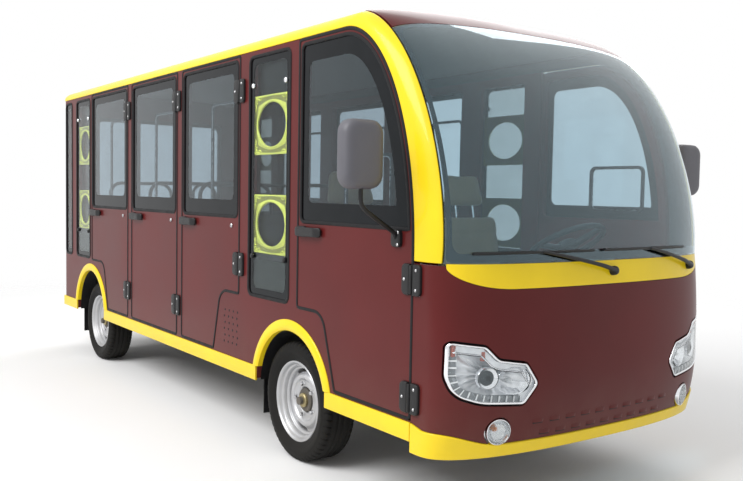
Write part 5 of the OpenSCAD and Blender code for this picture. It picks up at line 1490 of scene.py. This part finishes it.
# Wheels: profiles of radius and place along the axle
RIM_PROFILE = [(0.120, -0.055), (0.150, -0.058), (0.172, -0.066), (0.179, -0.066), (0.180, -0.060),
               (0.172, -0.050), (0.160, -0.030), (0.158, 0.020), (0.170, 0.050), (0.176, 0.058),
               (0.181, 0.062), (0.182, 0.066), (0.180, 0.069), (0.176, 0.069), (0.172, 0.066),
               (0.168, 0.060), (0.166, 0.050), (0.163, 0.047), (0.158, 0.045), (0.155, 0.040),
               (0.153, 0.028), (0.150, 0.025), (0.145, 0.024), (0.142, 0.020), (0.140, 0.004),
               (0.140, -0.040), (0.136, -0.050), (0.120, -0.055)]
DRUM = [(0, -0.014), (0.066, -0.014), (0.068, -0.010), (0.060, -0.006), (0.054, 0.004), (0.053, 0.022),
        (0.049, 0.026), (0.034, 0.027), (0, 0.027)]
CAP = [(0, 0.026), (0.032, 0.026), (0.032, 0.036), (0.029, 0.040), (0.020, 0.042), (0, 0.0425)]
NUT = [(0.0125, 0.016), (0.0125, 0.020), (0.0095, 0.022), (0.0095, 0.033), (0.0075, 0.035), (0, 0.0355)]
NUT_CIRCLE = 0.074
HUB_MID, AXLE = np.zeros(3), (0, 1, 0)


def tyre_surface(blocks=54, per=5):
    """Tyre as a grid round the wheel: the cross-section is a rounded band whose crown is cut by round
    grooves, and whose shoulders are cut across by a row of blocks all round."""
    w, r = TYRE_W/2, TYRE_R
    section = rounded([(-w + 0.018, 0.178, 0.004), (w - 0.018, 0.178, 0.004), (w + 0.001, 0.224, 0.030),
                       (w - 0.010, r, 0.022), (-w + 0.010, r, 0.022), (-w - 0.001, 0.224, 0.030)], 8)
    y, rad = evenly(section, 82).T
    crown = rad > r - 0.004
    for at in (-0.042, -0.014, 0.014, 0.042):
        rad = np.where(crown, rad - 0.006*np.clip(1.6 - np.abs(y - at)/0.0026, 0, 1), rad)
    side_rib = 0.0012*((np.abs(rad - 0.232) < 0.002) | (np.abs(rad - 0.200) < 0.0025))
    a = round_angles(blocks*per)
    slot = np.clip(1.5 - np.abs((a*blocks/(2*np.pi) + 0.5) % 1 - 0.5)*9, 0, 1)
    shoulder = ((np.abs(y) > 0.050) & (rad > r - 0.020))*1.0
    cut_r = rad[:, None] - 0.006*shoulder[:, None]*slot
    y = (y + np.sign(y)*side_rib)[:, None]
    return band_mesh(stack(cut_r*np.cos(a), y, cut_r*np.sin(a)), closed=True)


def rim_disc():
    """Wheel disc as a grid of radius by angle: its edge reaches the barrel at five lands and stays back
    between them."""
    a = round_angles(120)
    s = np.linspace(0, 1, 28)[:, None]
    land = ease(0.5 + 1.4*np.cos(5*a))[None]
    r = mix(0.057, 0.127 + 0.0142*land, s)
    out = 0.020 + 0.010*ease((r - 0.088)/0.012) - 0.020*ease((r - 0.112)/0.022)
    out -= 0.004*ease((0.062 - r)/0.005)
    top = stack(r*np.cos(a), out, r*np.sin(a))
    return band_mesh(np.concatenate([top, top[::-1] - [0, 0.005, 0]]), closed=True)


def wheel(name, x, side):
    """One wheel: tyre, rim with disc, hub with cap, and five nuts; side is -1 on the right."""
    def put(*parts):
        v, q = joined(parts)
        return v*[1, side, 1] + [x, side*WHEEL_Y, TYRE_R], (q if side > 0 else q[:, ::-1])

    body = "wheel_" + name
    a = 2*np.pi*(np.arange(5) + 0.5)/5
    nuts = [turned(NUT, at, AXLE, 6) for at in stack(NUT_CIRCLE*np.cos(a), 0.0, NUT_CIRCLE*np.sin(a))]
    barrel = turned(RIM_PROFILE, HUB_MID, AXLE, 96)
    piece("tyre_tread_" + name, put(tyre_surface()), TYRE_RUBBER, "tyre", ["tyre_" + name], body)
    piece("rim_steel_" + name, put(barrel, rim_disc()), RIM_STEEL, "wheel_steel", ["rim_" + name], body)
    piece("hub_" + name, put(turned(DRUM, HUB_MID, AXLE, 64)), CHASSIS, "chassis_steel", body=body)
    piece("hub_cap_" + name, put(turned(CAP, HUB_MID, AXLE, 48)), BRASS, "wheel_steel", body=body)
    piece("wheel_nuts_" + name, put(*nuts), SCREW_STEEL, "wheel_steel", body=body)


for axle_x, end in ((FRONT_AXLE_X, "front"), (REAR_AXLE_X, "rear")):
    wheel(end + "_right", axle_x, -1)
    wheel(end + "_left", axle_x, 1)

# Floor and studio light
FLOOR_HALF = 40
LIGHT_AIM = (0, 0, 0.8)
WHITE = (1, 1, 1, 1)


def placed(x, y, z, at):
    """Matrix from three axes and a place."""
    return Matrix(np.vstack([np.column_stack([x, y, z, at]), [0, 0, 0, 1]]).tolist())


def area_light(name, at, size, power):
    """Soft square lamp at a place, turned to the aim."""
    lamp = bpy.data.lights.new(name, "AREA")
    lamp.size = size
    lamp.energy = power
    obj = linked(name, lamp)
    z = np.subtract(at, LIGHT_AIM)
    z /= np.linalg.norm(z)
    x = np.cross([0, 0, 1.0], z)
    x /= np.linalg.norm(x)
    obj.matrix_world = placed(x, np.cross(z, x), z, at)
    return obj


def floor_material():
    """Pale floor that fades into the white background with the distance from the middle."""
    m = finish_material("floor_pale", (0.93, 0.93, 0.93), 0.9, vary=0.01, scale=0.5, bump=0.0)
    tree = m.node_tree
    place = node(tree, "TexCoord", {}).outputs["Object"]
    far = node(tree, "VectorMath", {0: place}, operation="LENGTH").outputs["Value"]
    fade = node(tree, "MapRange", {"Value": far, "From Min": 3.6, "From Max": 7.5},
                interpolation_type="SMOOTHSTEP")
    clear = node(tree, "BsdfTransparent", {})
    blended(tree, fade.outputs["Result"], tree.nodes["Principled BSDF"], clear, "Material Output")
    return m


floor_points = [(x*FLOOR_HALF, y*FLOOR_HALF, 0) for x, y in ((-1, -1), (1, -1), (1, 1), (-1, 1))]
floor = new_object("floor", (floor_points, [(0, 1, 2, 3)]))
floor.data.materials.append(floor_material())
key = area_light("key", (1.0, -6.5, 6.5), 5, 620)
fill = area_light("fill", (-4.0, 5.5, 6.0), 6, 260)

# World: full white where it is seen, mirrored or looked through, and less where it only lights
world = bpy.data.worlds.new("studio")
world.use_nodes = True
bpy.context.scene.world = world
sky = world.node_tree
seen = sky.nodes["Background"]
feed(sky, seen, {"Color": WHITE, "Strength": 1})
lit = node(sky, "Background", {"Color": WHITE, "Strength": 0.62})
ray = node(sky, "LightPath", {}).outputs
shown = node(sky, "Math", {0: ray["Is Camera Ray"], 1: ray["Is Glossy Ray"]}, operation="MAXIMUM")
through_glass = node(sky, "Math", {0: shown.outputs[0], 1: ray["Is Transmission Ray"]}, operation="MAXIMUM")
blended(sky, through_glass.outputs[0], lit, seen, "World Output")
bpy.context.scene.view_settings.view_transform = "Standard"

# Camera where the photograph was taken, found from the wheels, doors and windscreen
CAMERA_AT = np.array([4.397, -2.657, 1.209])
YAW, PITCH, ROLL = np.radians([144.33, -3.203, 0.996])
FOCAL_PIXELS, PHOTO_WIDE, SENSOR = 849.64, 743, 36
ahead = np.array([np.cos(YAW)*np.cos(PITCH), np.sin(YAW)*np.cos(PITCH), np.sin(PITCH)])
right = np.array([np.sin(YAW), -np.cos(YAW), 0.0])
up = np.cross(right, ahead)
right, up = np.cos(ROLL)*right + np.sin(ROLL)*up, -np.sin(ROLL)*right + np.cos(ROLL)*up
camera = linked("camera", bpy.data.cameras.new("camera"))
camera.matrix_world = placed(right, up, -ahead, CAMERA_AT)
camera.data.sensor_width = SENSOR
camera.data.lens = FOCAL_PIXELS/PHOTO_WIDE*SENSOR
camera.data.clip_end = 200
bpy.context.scene.camera = camera
